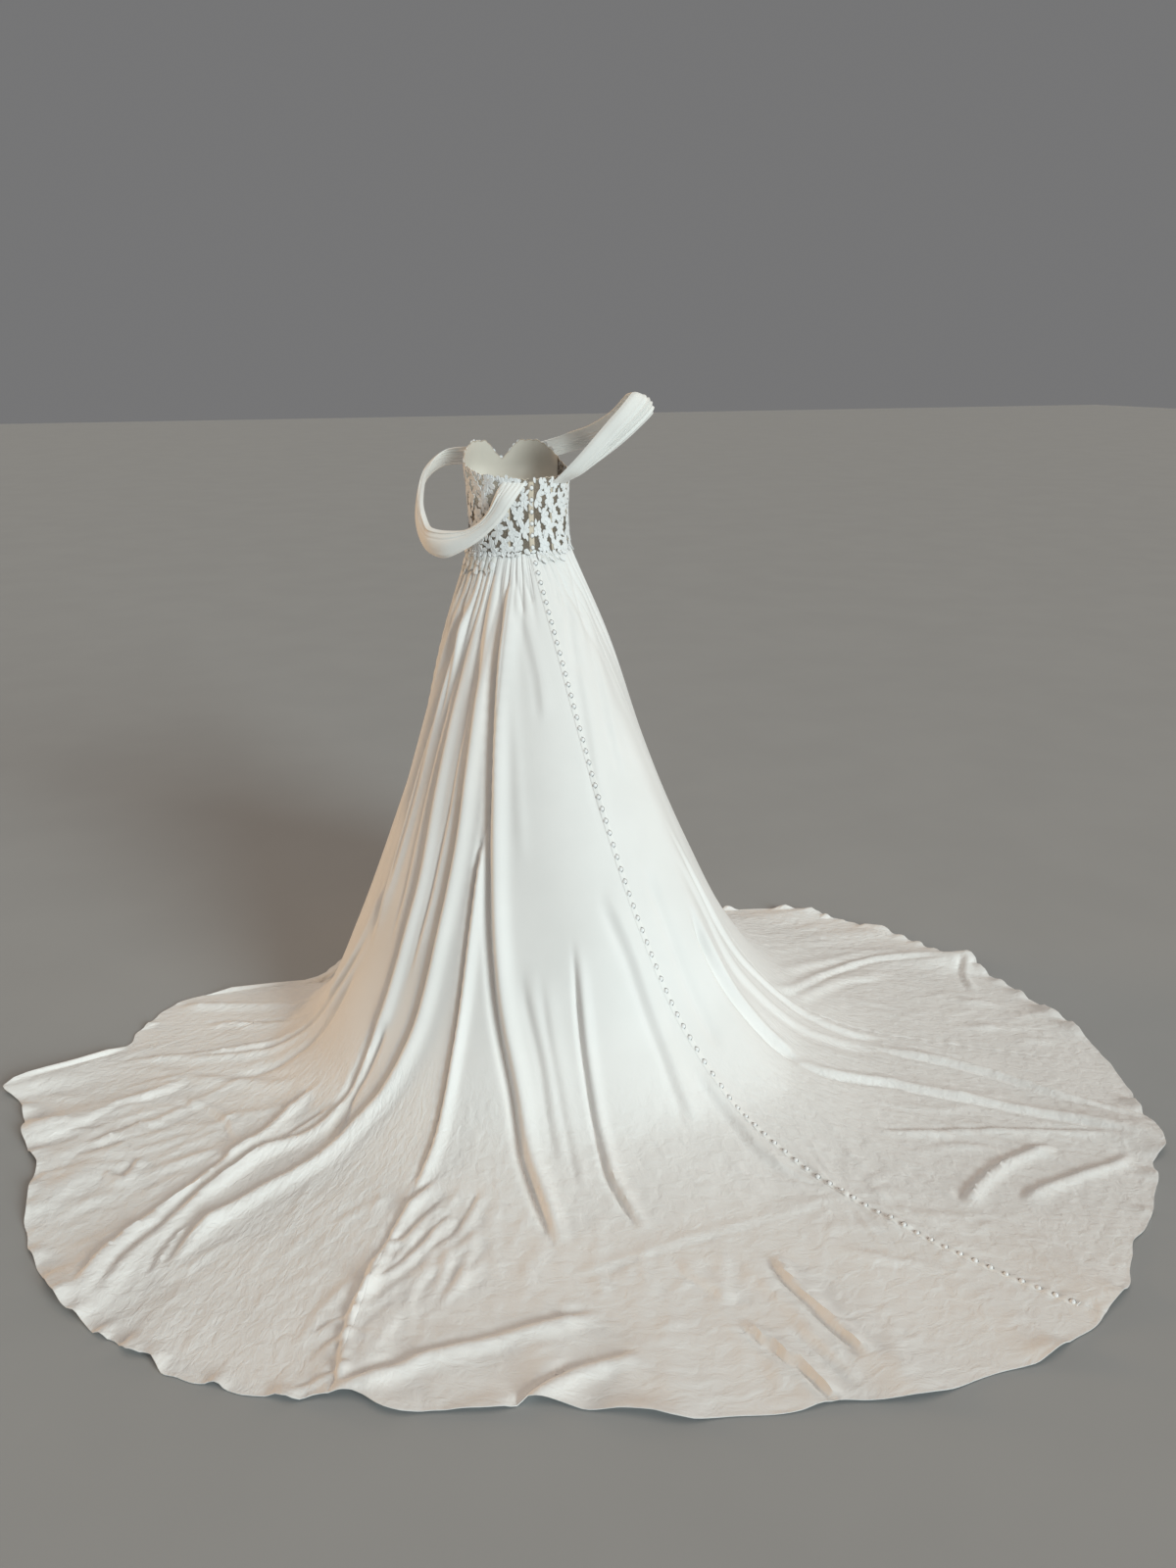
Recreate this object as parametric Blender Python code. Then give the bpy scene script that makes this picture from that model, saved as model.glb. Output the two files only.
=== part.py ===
"""Wedding dress: lace bodice, two crepe arm swags and a gathered crepe skirt with a round train.

Metres, +Z up. The origin is on the wearer's axis at the level of the waist seam. +Y is the
wearer's back, where the train lies, and +X the wearer's left. Directions round the body are
degrees from the centre back, positive towards the wearer's left.

The skirt is one surface, cut into five panels at its seams. A row of SECTIONS gives its profile
in one direction, DRIFT turns the threads of the cloth as they run down to the hem, and GATHERS
and FOLDS move the surface in and out. Every cloth piece is a wall, with a plain inner side.
"""
import math

import bpy
import numpy as np
from mathutils import Vector
from mathutils.geometry import delaunay_2d_cdt

# ---------------------------------------------------------------- driving sizes
WAIST_HEIGHT = 1.115           # waist seam above the floor
FLOOR = -WAIST_HEIGHT
CREPE = 0.0020                 # crepe with its lining
LACE = 0.0014                  # corded lace on its net
MOTIF_RELIEF = 0.0020          # how far petals stand above the lace round them
SEAM_GAP = 0.0003
LAY_GAP = 0.0004               # between a piece and the panel that it lies on

# ---------------------------------------------------------------- the skirt's tables
# Heights of the radii in SECTIONS, from the waist; the last two lie on the floor.
SECTION_HEIGHTS = (0.0, -0.215, -0.465, -0.715, -0.935, -1.065, FLOOR + 0.010, FLOOR)
# direction, then the radius at: waist, hip, thigh, knee, calf, where it lifts off, floor, hem
SECTIONS = (
    (-180, 0.096, 0.155, 0.235, 0.310, 0.370, 0.405, 0.425, 0.435),
    (-140, 0.108, 0.175, 0.258, 0.335, 0.400, 0.442, 0.470, 0.488),
    (-115, 0.119, 0.190, 0.275, 0.360, 0.438, 0.498, 0.545, 0.570),
    (-100, 0.123, 0.202, 0.286, 0.372, 0.457, 0.532, 0.612, 0.665),
    (-93, 0.124, 0.206, 0.290, 0.378, 0.469, 0.550, 0.655, 0.825),
    (-82, 0.124, 0.209, 0.294, 0.386, 0.484, 0.574, 0.715, 0.990),
    (-64, 0.118, 0.216, 0.300, 0.406, 0.522, 0.648, 0.830, 1.255),
    (-49, 0.112, 0.220, 0.322, 0.440, 0.572, 0.732, 0.925, 1.458),
    (-30, 0.104, 0.242, 0.392, 0.535, 0.672, 0.836, 1.060, 1.578),
    (-19, 0.100, 0.265, 0.438, 0.600, 0.730, 0.886, 1.118, 1.606),
    (0, 0.098, 0.280, 0.460, 0.615, 0.730, 0.870, 1.090, 1.518),
    (19, 0.100, 0.270, 0.440, 0.580, 0.700, 0.840, 1.030, 1.418),
    (41, 0.107, 0.235, 0.390, 0.530, 0.650, 0.780, 0.940, 1.442),
    (59, 0.116, 0.214, 0.344, 0.474, 0.596, 0.708, 0.838, 1.378),
    (69, 0.119, 0.208, 0.318, 0.434, 0.550, 0.658, 0.780, 1.280),
    (77, 0.122, 0.203, 0.293, 0.400, 0.512, 0.608, 0.722, 1.248),
    (84, 0.123, 0.200, 0.275, 0.376, 0.478, 0.564, 0.656, 1.238),
    (88, 0.1235, 0.198, 0.266, 0.362, 0.460, 0.540, 0.615, 1.016),
    (93, 0.124, 0.196, 0.260, 0.353, 0.442, 0.514, 0.575, 0.962),
    (99, 0.1235, 0.193, 0.255, 0.343, 0.424, 0.488, 0.530, 0.880),
    (104, 0.1225, 0.190, 0.253, 0.339, 0.415, 0.474, 0.508, 0.560),
    (118, 0.118, 0.180, 0.250, 0.330, 0.402, 0.450, 0.478, 0.500),
    (140, 0.108, 0.168, 0.243, 0.318, 0.382, 0.420, 0.443, 0.458),
)
# Shares of the length at which DRIFT gives a thread's turn.
DRIFT_SHARES = (0.0, 0.25, 0.42, 0.62, 0.80, 1.0)
# direction at the waist, then how many degrees the thread has turned at each share
DRIFT = (
    (-180, 0, 0, 0, 0, 0, 0),
    (-100, 0, 0, 0, 0, 0, 0),
    (-60, 0, -1, -2, -5, -7, -8),
    (-36, 0, -2, -4, -9, -12, -14),
    (0, 0, -1.8, -4.8, -11.9, -15, -19.3),
    (25, 0, 2, 5, 6.5, 7, 6),
    (60, 0, 0, 0, 0, 0, 0),
    (100, 0, 0, 0, 0, 0, 0),
)
# Seams, by their direction at the waist.
SEAMS = {"centre_back": 0, "back_left": 25, "side_left": 100, "side_right": -100,
         "back_right": -36}
# node, the seam that it runs from and the seam that it runs to, towards the wearer's left
PANELS = (
    ("skirt_back_left", "centre_back", "back_left"),
    ("skirt_side_left", "back_left", "side_left"),
    ("skirt_front", "side_left", "side_right"),
    ("skirt_side_right", "side_right", "back_right"),
    ("skirt_back_right", "back_right", "centre_back"),
)
# direction at the waist, depth (m), half width (degrees), length (m)
GATHERS = (
    (9, 0.0030, 2.0, 0.20), (16, 0.0036, 2.0, 0.22), (22, 0.0034, 1.8, 0.18),
    (29, 0.0040, 1.6, 0.30), (36, 0.0034, 2.2, 0.35), (45, 0.0050, 2.0, 0.22),
    (52, 0.0050, 1.8, 0.30), (57, 0.0050, 1.8, 0.20), (63, 0.0040, 2.0, 0.30),
    (70, 0.0050, 2.2, 0.35), (78, 0.0060, 2.4, 0.60), (86, 0.0060, 2.4, 0.70),
    (95, 0.0060, 2.6, 0.80),
    (106, 0.0070, 3.0, 0.80), (120, 0.0080, 3.2, 0.90), (136, 0.0070, 3.2, 0.75),
    (152, 0.0060, 3.4, 0.90), (170, 0.0070, 3.6, 0.80),
    (-9, 0.0020, 2.0, 0.16), (-17, 0.0026, 2.2, 0.20), (-26, 0.0030, 2.4, 0.28),
    (-45, 0.0030, 2.6, 0.28), (-55, 0.0036, 2.6, 0.36), (-66, 0.0040, 2.6, 0.45),
    (-78, 0.0050, 2.8, 0.65), (-90, 0.0060, 2.8, 0.60), (-112, 0.0080, 3.0, 0.85),
    (-127, 0.0070, 3.2, 0.75), (-143, 0.0070, 3.2, 0.90), (-161, 0.0060, 3.4, 0.80),
)
# name, height (m), half width (m), how deep the trough on its steep side is, as a share of the
# height, then the stations (x, y) of its line seen from above, from the waist outwards. A trough
# above 0 puts the steep side towards the wearer's left, one below 0 towards the right, and at 0
# the fold is even. A valley has a height below 0.
FOLDS = (
    ("drape_left_c", 0.010, 0.014, 0.8, (
        (0.128, 0.061), (0.166, 0.084), (0.205, 0.110), (0.249, 0.140), (0.288, 0.167),
        (0.330, 0.197), (0.366, 0.222), (0.403, 0.250), (0.455, 0.285))),
    ("drape_left_d", 0.008, 0.017, 0.7, (
        (0.140, 0.000), (0.165, 0.019), (0.188, 0.040), (0.215, 0.063), (0.245, 0.086),
        (0.280, 0.112), (0.315, 0.138), (0.360, 0.165))),
    ("drape_left_e", 0.008, 0.018, 0.7, (
        (0.402, 0.225), (0.453, 0.217), (0.498, 0.201), (0.551, 0.184))),
    ("pocket", 0.016, 0.015, 1.0, (
        (0.047, 0.091), (0.079, 0.160), (0.116, 0.229), (0.157, 0.319), (0.191, 0.404),
        (0.213, 0.463), (0.235, 0.539), (0.243, 0.600), (0.245, 0.694), (0.254, 0.765),
        (0.263, 0.826), (0.266, 0.919), (0.270, 1.005), (0.276, 1.066))),
    ("pocket_side", 0.009, 0.010, 0.9, (
        (0.080, 0.600), (0.097, 0.700), (0.107, 0.780), (0.117, 0.860), (0.125, 0.920),
        (0.122, 0.980), (0.112, 1.060))),
    ("seam_ridge", 0.010, 0.010, 0.8, (
        (0.199, 0.383), (0.236, 0.436), (0.295, 0.519), (0.357, 0.602), (0.385, 0.646),
        (0.441, 0.734), (0.491, 0.800))),
    ("long_ridge", 0.015, 0.014, 0.9, (
        (0.083, 0.083), (0.121, 0.150), (0.172, 0.234), (0.223, 0.314), (0.267, 0.378),
        (0.348, 0.456), (0.419, 0.508), (0.471, 0.533), (0.547, 0.566), (0.625, 0.615),
        (0.698, 0.655), (0.764, 0.680), (0.831, 0.714), (0.879, 0.740), (0.911, 0.773),
        (0.937, 0.812), (0.967, 0.850), (0.992, 0.886))),
    ("left_valley", -0.018, 0.011, 0.0, (
        (0.460, 0.430), (0.520, 0.470), (0.560, 0.500), (0.590, 0.540), (0.625, 0.595))),
    ("left_ridge", 0.012, 0.013, 0.9, (
        (0.103, 0.085), (0.148, 0.124), (0.211, 0.188), (0.282, 0.267), (0.347, 0.344),
        (0.396, 0.378), (0.454, 0.414), (0.509, 0.452), (0.554, 0.488), (0.601, 0.524),
        (0.661, 0.548), (0.750, 0.562), (0.800, 0.592), (0.870, 0.647), (0.930, 0.686),
        (1.000, 0.725))),
    ("low_ridge", 0.013, 0.012, 0.8, (
        (0.600, 0.400), (0.680, 0.445), (0.740, 0.500), (0.820, 0.560), (0.900, 0.625),
        (1.000, 0.705), (1.060, 0.765), (1.110, 0.850))),
    ("fan_valley", -0.008, 0.012, 0.0, (
        (0.480, 0.260), (0.600, 0.256), (0.700, 0.265), (0.830, 0.270))),
    ("fan_low", 0.004, 0.009, -0.6, (
        (0.880, 0.235), (0.920, 0.262), (0.970, 0.270), (1.020, 0.272), (1.060, 0.295),
        (1.120, 0.330), (1.200, 0.360))),
    ("fan_middle", 0.008, 0.009, 0.6, (
        (0.420, 0.235), (0.500, 0.210), (0.570, 0.180), (0.700, 0.155), (0.850, 0.138),
        (1.020, 0.100))),
    ("fan_high", 0.011, 0.013, 0.5, (
        (0.540, 0.050), (0.595, 0.020), (0.640, -0.010), (0.750, -0.060), (0.890, -0.115))),
    ("right_valley", -0.014, 0.010, 0.0, (
        (-0.190, 0.560), (-0.230, 0.620), (-0.280, 0.655), (-0.340, 0.690), (-0.410, 0.730))),
    ("right_ridge", 0.010, 0.011, 0.6, (
        (-0.380, 0.710), (-0.460, 0.765), (-0.520, 0.790), (-0.580, 0.815), (-0.640, 0.865),
        (-0.720, 0.930), (-0.800, 1.000), (-0.880, 1.070), (-0.970, 1.170))),
    ("right_low", 0.008, 0.010, 0.6, (
        (-0.620, 0.670), (-0.700, 0.740), (-0.780, 0.815), (-0.850, 0.900), (-0.910, 0.990),
        (-0.990, 1.080), (-1.040, 1.150))),
    ("right_strip", 0.006, 0.008, -0.9, (
        (-0.440, 0.950), (-0.550, 0.994), (-0.650, 1.024), (-0.750, 1.059), (-0.840, 1.099),
        (-0.920, 1.142))),
    ("curl_inner", 0.011, 0.012, -0.9, (
        (-0.480, 1.210), (-0.555, 1.165), (-0.625, 1.138), (-0.700, 1.124), (-0.780, 1.118))),
    ("curl_outer", 0.010, 0.012, -0.9, (
        (-0.590, 1.238), (-0.680, 1.219), (-0.770, 1.214), (-0.850, 1.212), (-0.910, 1.196))),
    ("right_curve", 0.008, 0.011, 0.6, (
        (-0.440, 0.500), (-0.500, 0.475), (-0.600, 0.410), (-0.700, 0.350), (-0.780, 0.325),
        (-0.880, 0.310), (-0.970, 0.335), (-1.090, 0.385))),
    ("right_drape", 0.006, 0.013, 0.5, (
        (-0.180, 0.440), (-0.300, 0.485), (-0.400, 0.490), (-0.470, 0.510), (-0.540, 0.565),
        (-0.600, 0.620), (-0.690, 0.660))),
    ("hem_ridge_a", 0.013, 0.010, 1.0, (
        (-0.075, 1.190), (-0.072, 1.250), (-0.082, 1.320), (-0.097, 1.400), (-0.108, 1.460))),
    ("hem_ridge_b", 0.012, 0.009, 1.0, (
        (0.055, 1.310), (0.015, 1.400), (-0.004, 1.450), (-0.014, 1.510))),
    ("left_sweep", 0.011, 0.013, 0.9, (
        (0.260, 1.208), (0.450, 1.200), (0.550, 1.195), (0.620, 1.200), (0.730, 1.218))),
    ("left_sweep_low", 0.011, 0.012, 0.9, (
        (0.240, 1.316), (0.340, 1.310), (0.380, 1.320), (0.430, 1.336), (0.470, 1.360))),
    ("seam_low", 0.009, 0.010, 0.8, (
        (0.440, 0.790), (0.505, 0.832), (0.540, 0.872), (0.565, 0.910), (0.595, 0.950),
        (0.620, 0.990), (0.650, 1.030), (0.690, 1.070))),
)
# direction, half width (degrees), how far the hem runs out (m), how far it stands up (m)
HEM_WAVES = (
    (84, 1.8, 0.030, 0.020), (79, 1.6, -0.002, 0.004), (75, 2.0, 0.008, 0.020),
    (70, 1.8, -0.012, 0.012), (65, 2.4, 0.002, 0.014), (53, 2.6, 0.012, 0.024),
    (45, 2.2, -0.006, 0.004), (30, 2.2, -0.022, 0.016), (24, 2.0, 0.004, 0.006),
    (17, 2.0, -0.012, 0.012), (9, 2.2, 0.012, 0.010), (0, 2.2, -0.018, 0.008),
    (-5, 2.2, 0.010, 0.016), (-14, 2.2, 0.010, 0.008), (-21, 2.2, 0.006, 0.016),
    (-27, 2.0, -0.014, 0.006), (-40, 2.2, 0.026, 0.026), (-56, 2.6, 0.000, 0.008),
    (-70, 1.8, 0.024, 0.030), (-80, 2.0, 0.010, 0.008), (-91, 2.6, 0.012, 0.010),
)
HEM_WAVE_LENGTH = 0.16         # how far a wave of the hem runs back into the cloth
FOLD_START = 0.12              # below the waist, where the folds have their full height
FOLD_END = 0.16                # share of a fold's line over which it rises and dies away
STEEP_SIDE = 0.65              # width of a fold's steep side, and of its other side, in its half
SOFT_SIDE = 1.30               # widths
TROUGH_SET = 1.30              # from the crest to the trough, in half widths
TROUGH_HALF = 0.60             # width of the trough, in half widths
GATHER_AT_SEAM = 0.55          # share of its depth that a gather has at the waist seam
GATHER_OPENS = 0.10            # below the seam, where it has all of it
GATHER_GROWTH = 1.6            # how much deeper the cloth then hangs, as a share
GATHER_GROWN = 0.50            # below the seam, where it hangs that deep
GATHER_OVERRUN = 1.15          # how far a gather's end runs out, in its lengths
# Shares of the length of the rows of points: close where the cloth is gathered.
ROWS = (0.0, 0.016, 0.045, 0.09, 0.145, 0.205, 0.27, 0.335, 0.40, 0.465, 0.53, 0.59, 0.65, 0.71,
        0.77, 0.84, 0.915, 1.0)
WIDEST_COLUMN = 3.6            # degrees between columns at the back
WIDEST_FRONT = 10.0            # and at the front
BACK_REACH = 104               # the back ends here, on either side
GATHER_SHOULDER = 0.8          # columns beside a gather's middle, in its half widths
SEAM_CLEAR = 1.2               # degrees that other columns keep from a seam
PROBE_TURN = 0.8               # degrees, and share of the length, between which slopes are read
PROBE_SHARE = 0.010

# ---------------------------------------------------------------- the placket and its buttons
PLACKET_HALF = 0.0070
PLACKET_SEAT = 0.0080          # half width of the cloth under it that is kept straight
PLACKET = 0.0010               # thickness
BUTTON_PITCH = 0.0268
BUTTON_RADIUS = 0.0046
BUTTON_HEIGHT = 0.0042
BUTTON_SIDES = 6
BUTTON_SHOULDER = 0.81         # radius of the ring under the dome's top, as a share
BUTTON_SHOULDER_RISE = 0.62    # and its height
SHARP_EDGE = 35                # degrees, from which an edge of the placket stays sharp
PLACKET_TOP = 0.013            # below the waist seam
PLACKET_END = 0.985            # share of the length where it stops, short of the hem

# ---------------------------------------------------------------- the bodice's tables
# height, half width at the side, depth at the back, depth at the front
BODICE = (
    (0.000, 0.1225, 0.098, 0.096),
    (0.050, 0.1170, 0.094, 0.095),
    (0.090, 0.1160, 0.093, 0.098),
    (0.140, 0.1180, 0.095, 0.108),
    (0.180, 0.1210, 0.097, 0.114),
    (0.230, 0.1220, 0.099, 0.114),
    (0.280, 0.1200, 0.100, 0.108),
)
# direction, height of the top edge
NECKLINE = (
    (-170, 0.214), (-158, 0.236), (-142, 0.236), (-122, 0.214), (-105, 0.190), (-85, 0.174),
    (-60, 0.166), (-30, 0.167), (0, 0.164), (30, 0.169), (60, 0.173), (85, 0.186), (105, 0.200),
    (122, 0.217), (142, 0.236), (158, 0.236), (170, 0.214), (180, 0.194),
)
CUP = {"direction": 150, "height": 0.165, "half_width": 25, "half_height": 0.055, "depth": 0.026}
BODICE_BASE = 0.0004           # its lower edge, over the skirt's waist edge
LACE_SCALE = math.radians(1.0) * 0.115   # length along the lace for one degree
LACE_GIRTH = 360 * LACE_SCALE
CDT_CLOSE = 1e-6               # points nearer than this are one
# node, direction from, direction to
BODICE_PIECES = (
    ("bodice_back_left", 3.5, 92),
    ("bodice_front", 92, 268),
    ("bodice_back_right", -92, -3.5),
)
CUPS_FROM = 112                # direction either way from which the lace is lined
OPEN_BELOW = 0.095             # height below which it is open there too
FLOWER_COLUMNS = 20            # flowers of a row, all round
FLOWER_ROWS = 7
FLOWER_RISE = 0.034            # between rows
FIRST_FLOWER = 0.018           # height of the lowest row
FLOWER_WANDER = 0.003          # how far flowers leave their places in the rows
FLOWER_RADIUS = 0.0165
FLOWER_PETALS = 5
PETAL_MIDDLE = 0.62            # from a flower's middle, as a share of its radius
GAP_WIDTH = 0.0210             # the largest gaps, between two flowers
GAP_HEIGHT = 0.0270
GAP_CORNERS = 6
SMALL_GAP = 0.0064             # beside a flower's lower petals
SMALL_CORNERS = 4
GAP_CLEAR = 1.25               # a raised spot keeps this many half gaps from a gap's middle
LACE_MARGIN = 0.0050           # plain lace along an edge
EDGE_STEP = 0.0125             # between points of an edge
SCALLOP = 0.0030               # of the top edge
BODICE_PLACKET_TOP = 0.004     # below the top edge
# The lace that runs down over the gathers: node, direction from, direction to, depth (m).
WAIST_LACE = (("waist_lace_left", 46, 96, 0.056), ("waist_lace_right", -34, -5, 0.030))
WAIST_LACE_TOP = 0.0015        # below the waist seam
WAIST_LACE_ROWS = 4
WAIST_LACE_LIFT = 0.0009       # it bridges the gathers a little
WAIST_LACE_SCALLOP = 0.25      # how much its depth comes and goes, as a share

# ---------------------------------------------------------------- the swags' tables
# Each swag is a folded band, sewn to the bodice at the back and at the front. An end is the
# (direction, height) of its upper and of its lower corner on the bodice; between the ends come
# stations with the band's upper edge (x, y, z) and its lower edge (x, y, z).
SWAGS = {
    "swag_left": {
        "back": ((37, 0.160), (8, 0.156)),
        "stations": (
            ((0.081, 0.085, 0.133), (0.047, 0.111, 0.122)),
            ((0.098, 0.078, 0.096), (0.075, 0.102, 0.083)),
            ((0.122, 0.063, 0.067), (0.106, 0.084, 0.048)),
            ((0.152, 0.040, 0.051), (0.151, 0.058, 0.013)),
            ((0.185, 0.010, 0.049), (0.193, 0.022, -0.009)),
            ((0.208, -0.026, 0.054), (0.216, -0.028, 0.000)),
            ((0.209, -0.080, 0.088), (0.220, -0.084, 0.031)),
            ((0.194, -0.128, 0.139), (0.206, -0.132, 0.093)),
            ((0.170, -0.155, 0.185), (0.180, -0.162, 0.150)),
            ((0.128, -0.160, 0.215), (0.132, -0.166, 0.180)),
        ),
        "front": ((144, 0.226), (142, 0.186)),
        "outward": 1,
    },
    "swag_right": {
        "back": ((-31, 0.157), (-56, 0.153)),
        "stations": (
            ((-0.090, 0.118, 0.196), (-0.124, 0.100, 0.177)),
            ((-0.139, 0.132, 0.252), (-0.172, 0.122, 0.213)),
            ((-0.190, 0.134, 0.305), (-0.224, 0.132, 0.254)),
            ((-0.241, 0.110, 0.349), (-0.293, 0.108, 0.306)),
            ((-0.248, 0.062, 0.345), (-0.294, 0.054, 0.300)),
            ((-0.226, 0.010, 0.302), (-0.252, 0.002, 0.252)),
            ((-0.192, -0.052, 0.268), (-0.208, -0.062, 0.222)),
            ((-0.150, -0.108, 0.246), (-0.158, -0.120, 0.204)),
        ),
        "front": ((-144, 0.226), (-142, 0.186)),
        "outward": -1,
    },
}
SWAG_ROWS = 18
SWAG_COLUMNS = 6
SWAG_BULGE = 0.16              # how far its middle stands out, as a share of its width
SWAG_SEATED = 0.10             # share of its length over which an end comes to lie on the lace
SWAG_OPENS = 0.12              # share over which its folds open
SWAG_CRIMP = 0.0032            # depth of its lengthwise folds
SWAG_CRIMPS = 2.0              # folds across its width
SWAG_SHADOW = {"beside": 8, "below": 0.03, "above": 0.02}   # degrees and metres round an end


# ---------------------------------------------------------------- interpolation
def slopes(x, y):
    """Slopes of a curve through (x, y) that never overshoots; x and y run along the last axis."""
    step = np.diff(x, axis=-1)
    rise = np.diff(y, axis=-1) / step
    before, after = rise[..., :-1], rise[..., 1:]
    weight_a = 2 * step[..., 1:] + step[..., :-1]
    weight_b = step[..., 1:] + 2 * step[..., :-1]
    level = before * after <= 0
    safe_before = np.where(level, 1.0, before)
    safe_after = np.where(level, 1.0, after)
    mean = (weight_a + weight_b) / (weight_a / safe_before + weight_b / safe_after)
    inner = np.where(level, 0.0, mean)
    return np.concatenate([rise[..., :1], inner, rise[..., -1:]], axis=-1)


def blend(left, right, slope_left, slope_right, step, t):
    """Cubic between two values, given its slopes there."""
    return (left * (1 + 2 * t) * (1 - t) ** 2 + slope_left * step * t * (1 - t) ** 2
            + right * t * t * (3 - 2 * t) + slope_right * step * t * t * (t - 1))


def curve(x, y, wanted):
    """Values at `wanted` of the curve through the table columns x and y."""
    x, y, wanted = np.asarray(x, float), np.asarray(y, float), np.asarray(wanted, float)
    slope = slopes(x, y)
    spot = np.clip(np.searchsorted(x, wanted) - 1, 0, len(x) - 2)
    step = x[spot + 1] - x[spot]
    t = (wanted - x[spot]) / step
    return blend(y[spot], y[spot + 1], slope[spot], slope[spot + 1], step, t)


def round_table(table, wanted):
    """The columns of a table of directions, at any directions; one array for each column."""
    rows = np.array(table, float)
    turn = np.zeros(rows.shape[1])
    turn[0] = 360.0
    rows = np.vstack([rows[-3:] - turn, rows, rows[:3] + turn])
    direction = (np.asarray(wanted, float) + 180.0) % 360.0 - 180.0
    return [curve(rows[:, 0], rows[:, column], direction) for column in range(1, rows.shape[1])]


def pick(values, which):
    """The entry `which` of each curve in an array of curves."""
    return np.take_along_axis(values, which[..., None], axis=-1)[..., 0]


def smooth_step(t):
    t = np.clip(t, 0.0, 1.0)
    return t * t * (3 - 2 * t)


# ---------------------------------------------------------------- the skirt's surface
def drifted(direction, share):
    """Direction of the thread that leaves the waist at `direction`, a share of the way down."""
    turns = np.stack(round_table(DRIFT, direction), axis=-1)
    spots = np.array(DRIFT_SHARES)
    slope = slopes(spots, turns)
    spot = np.clip(np.searchsorted(spots, share) - 1, 0, len(spots) - 2)
    step = spots[spot + 1] - spots[spot]
    t = (share - spots[spot]) / step
    return direction + blend(pick(turns, spot), pick(turns, spot + 1), pick(slope, spot),
                             pick(slope, spot + 1), step, t)


def hem_wave(direction):
    """How far the hem runs out and stands up in a direction."""
    out, up = np.zeros_like(direction), np.zeros_like(direction)
    for centre, half, run, rise in HEM_WAVES:
        bump = np.exp(-((direction - centre) / half) ** 2)
        out, up = out + run * bump, up + rise * bump
    return out, up


def plain_skirt(direction, share):
    """Points of the skirt with no folds, and how far each lies below the waist seam."""
    theta = drifted(direction, share)
    out, up = hem_wave((theta + 180.0) % 360.0 - 180.0)
    radii = np.stack(round_table(SECTIONS, theta), axis=-1)
    radii[..., -1] += out
    heights = np.broadcast_to(np.array(SECTION_HEIGHTS), radii.shape)
    chords = np.hypot(np.diff(radii, axis=-1), np.diff(heights, axis=-1))
    spots = np.concatenate([np.zeros(chords.shape[:-1] + (1,)), np.cumsum(chords, axis=-1)], -1)
    wanted = share * spots[..., -1]
    spot = np.clip((spots < wanted[..., None]).sum(-1) - 1, 0, radii.shape[-1] - 2)
    step = pick(spots, spot + 1) - pick(spots, spot)
    t = (wanted - pick(spots, spot)) / step
    place = []
    for values in (radii, heights):
        slope = slopes(spots, values)
        place.append(blend(pick(values, spot), pick(values, spot + 1), pick(slope, spot),
                           pick(slope, spot + 1), step, t))
    radius, height = place
    from_hem = spots[..., -1] - wanted
    height = height + up * np.exp(-(from_hem / HEM_WAVE_LENGTH) ** 2)
    angle = np.radians(theta)
    return np.stack([radius * np.sin(angle), radius * np.cos(angle), height], -1), wanted


def smooth_line(stations, steps=6):
    """A polyline through the stations, smoothed between them."""
    stations = np.array(stations, float)
    spots = np.arange(len(stations))
    fine = np.linspace(0, len(stations) - 1, steps * (len(stations) - 1) + 1)
    return np.stack([curve(spots, stations[:, axis], fine) for axis in range(stations.shape[1])],
                    -1)


def fold_height(points, fold):
    """How far a fold moves the surface at each point."""
    _, height, half, trough, stations = fold
    line = smooth_line(stations)
    lengths = np.hypot(*np.diff(line, axis=0).T)
    along = np.concatenate([[0.0], np.cumsum(lengths)])
    plan = points[..., :2]
    nearest = np.full(plan.shape[:-1], np.inf)
    side, place = np.zeros_like(nearest), np.zeros_like(nearest)
    for index, length in enumerate(lengths):
        heading = (line[index + 1] - line[index]) / length
        offset = plan - line[index]
        run = np.clip(offset @ heading, 0.0, length)
        miss = offset - run[..., None] * heading
        distance = np.hypot(miss[..., 0], miss[..., 1])
        closer = distance < nearest
        nearest = np.where(closer, distance, nearest)
        sign = np.sign(offset[..., 0] * heading[1] - offset[..., 1] * heading[0])
        side = np.where(closer, distance * sign, side)
        place = np.where(closer, (along[index] + run) / along[-1], place)
    lean = np.sign(trough)
    wide = np.where(side * lean > 0, STEEP_SIDE, SOFT_SIDE) if trough else 1.0
    lean = np.sign(trough)
    wide = np.where(side * lean > 0, STEEP_SIDE, SOFT_SIDE) if trough else 1.0
    lean = np.sign(trough)
    wide = np.where(side * lean > 0, STEEP_SIDE, SOFT_SIDE) if trough else 1.0
    lean = np.sign(trough)
    wide = np.where(side * lean > 0, STEEP_SIDE, SOFT_SIDE) if trough else 1.0
    ends = smooth_step(place / FOLD_END) * smooth_step((1 - place) / FOLD_END)
    ridge = np.exp(-(nearest / (half * wide)) ** 2)
    beside = abs(trough) * np.exp(-((side * lean / half - TROUGH_SET) / TROUGH_HALF) ** 2)
    return height * ends * (ridge - beside)


def gather_depth(direction, run):
    """How far the gathers draw the cloth in, for threads leaving the waist at `direction`."""
    depth = np.zeros_like(run)
    for centre, deep, half, length in GATHERS:
        away = (direction - centre + 180.0) % 360.0 - 180.0
        start = GATHER_AT_SEAM + (1 - GATHER_AT_SEAM) * smooth_step(run / GATHER_OPENS)
        grow = 1.0 + GATHER_GROWTH * smooth_step(run / GATHER_GROWN)
        fade = smooth_step(GATHER_OVERRUN - run / length)
        depth = depth + deep * start * grow * fade * np.exp(-(away / half) ** 2)
    return depth


def unit(vectors):
    return vectors / np.linalg.norm(vectors, axis=-1, keepdims=True)


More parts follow.
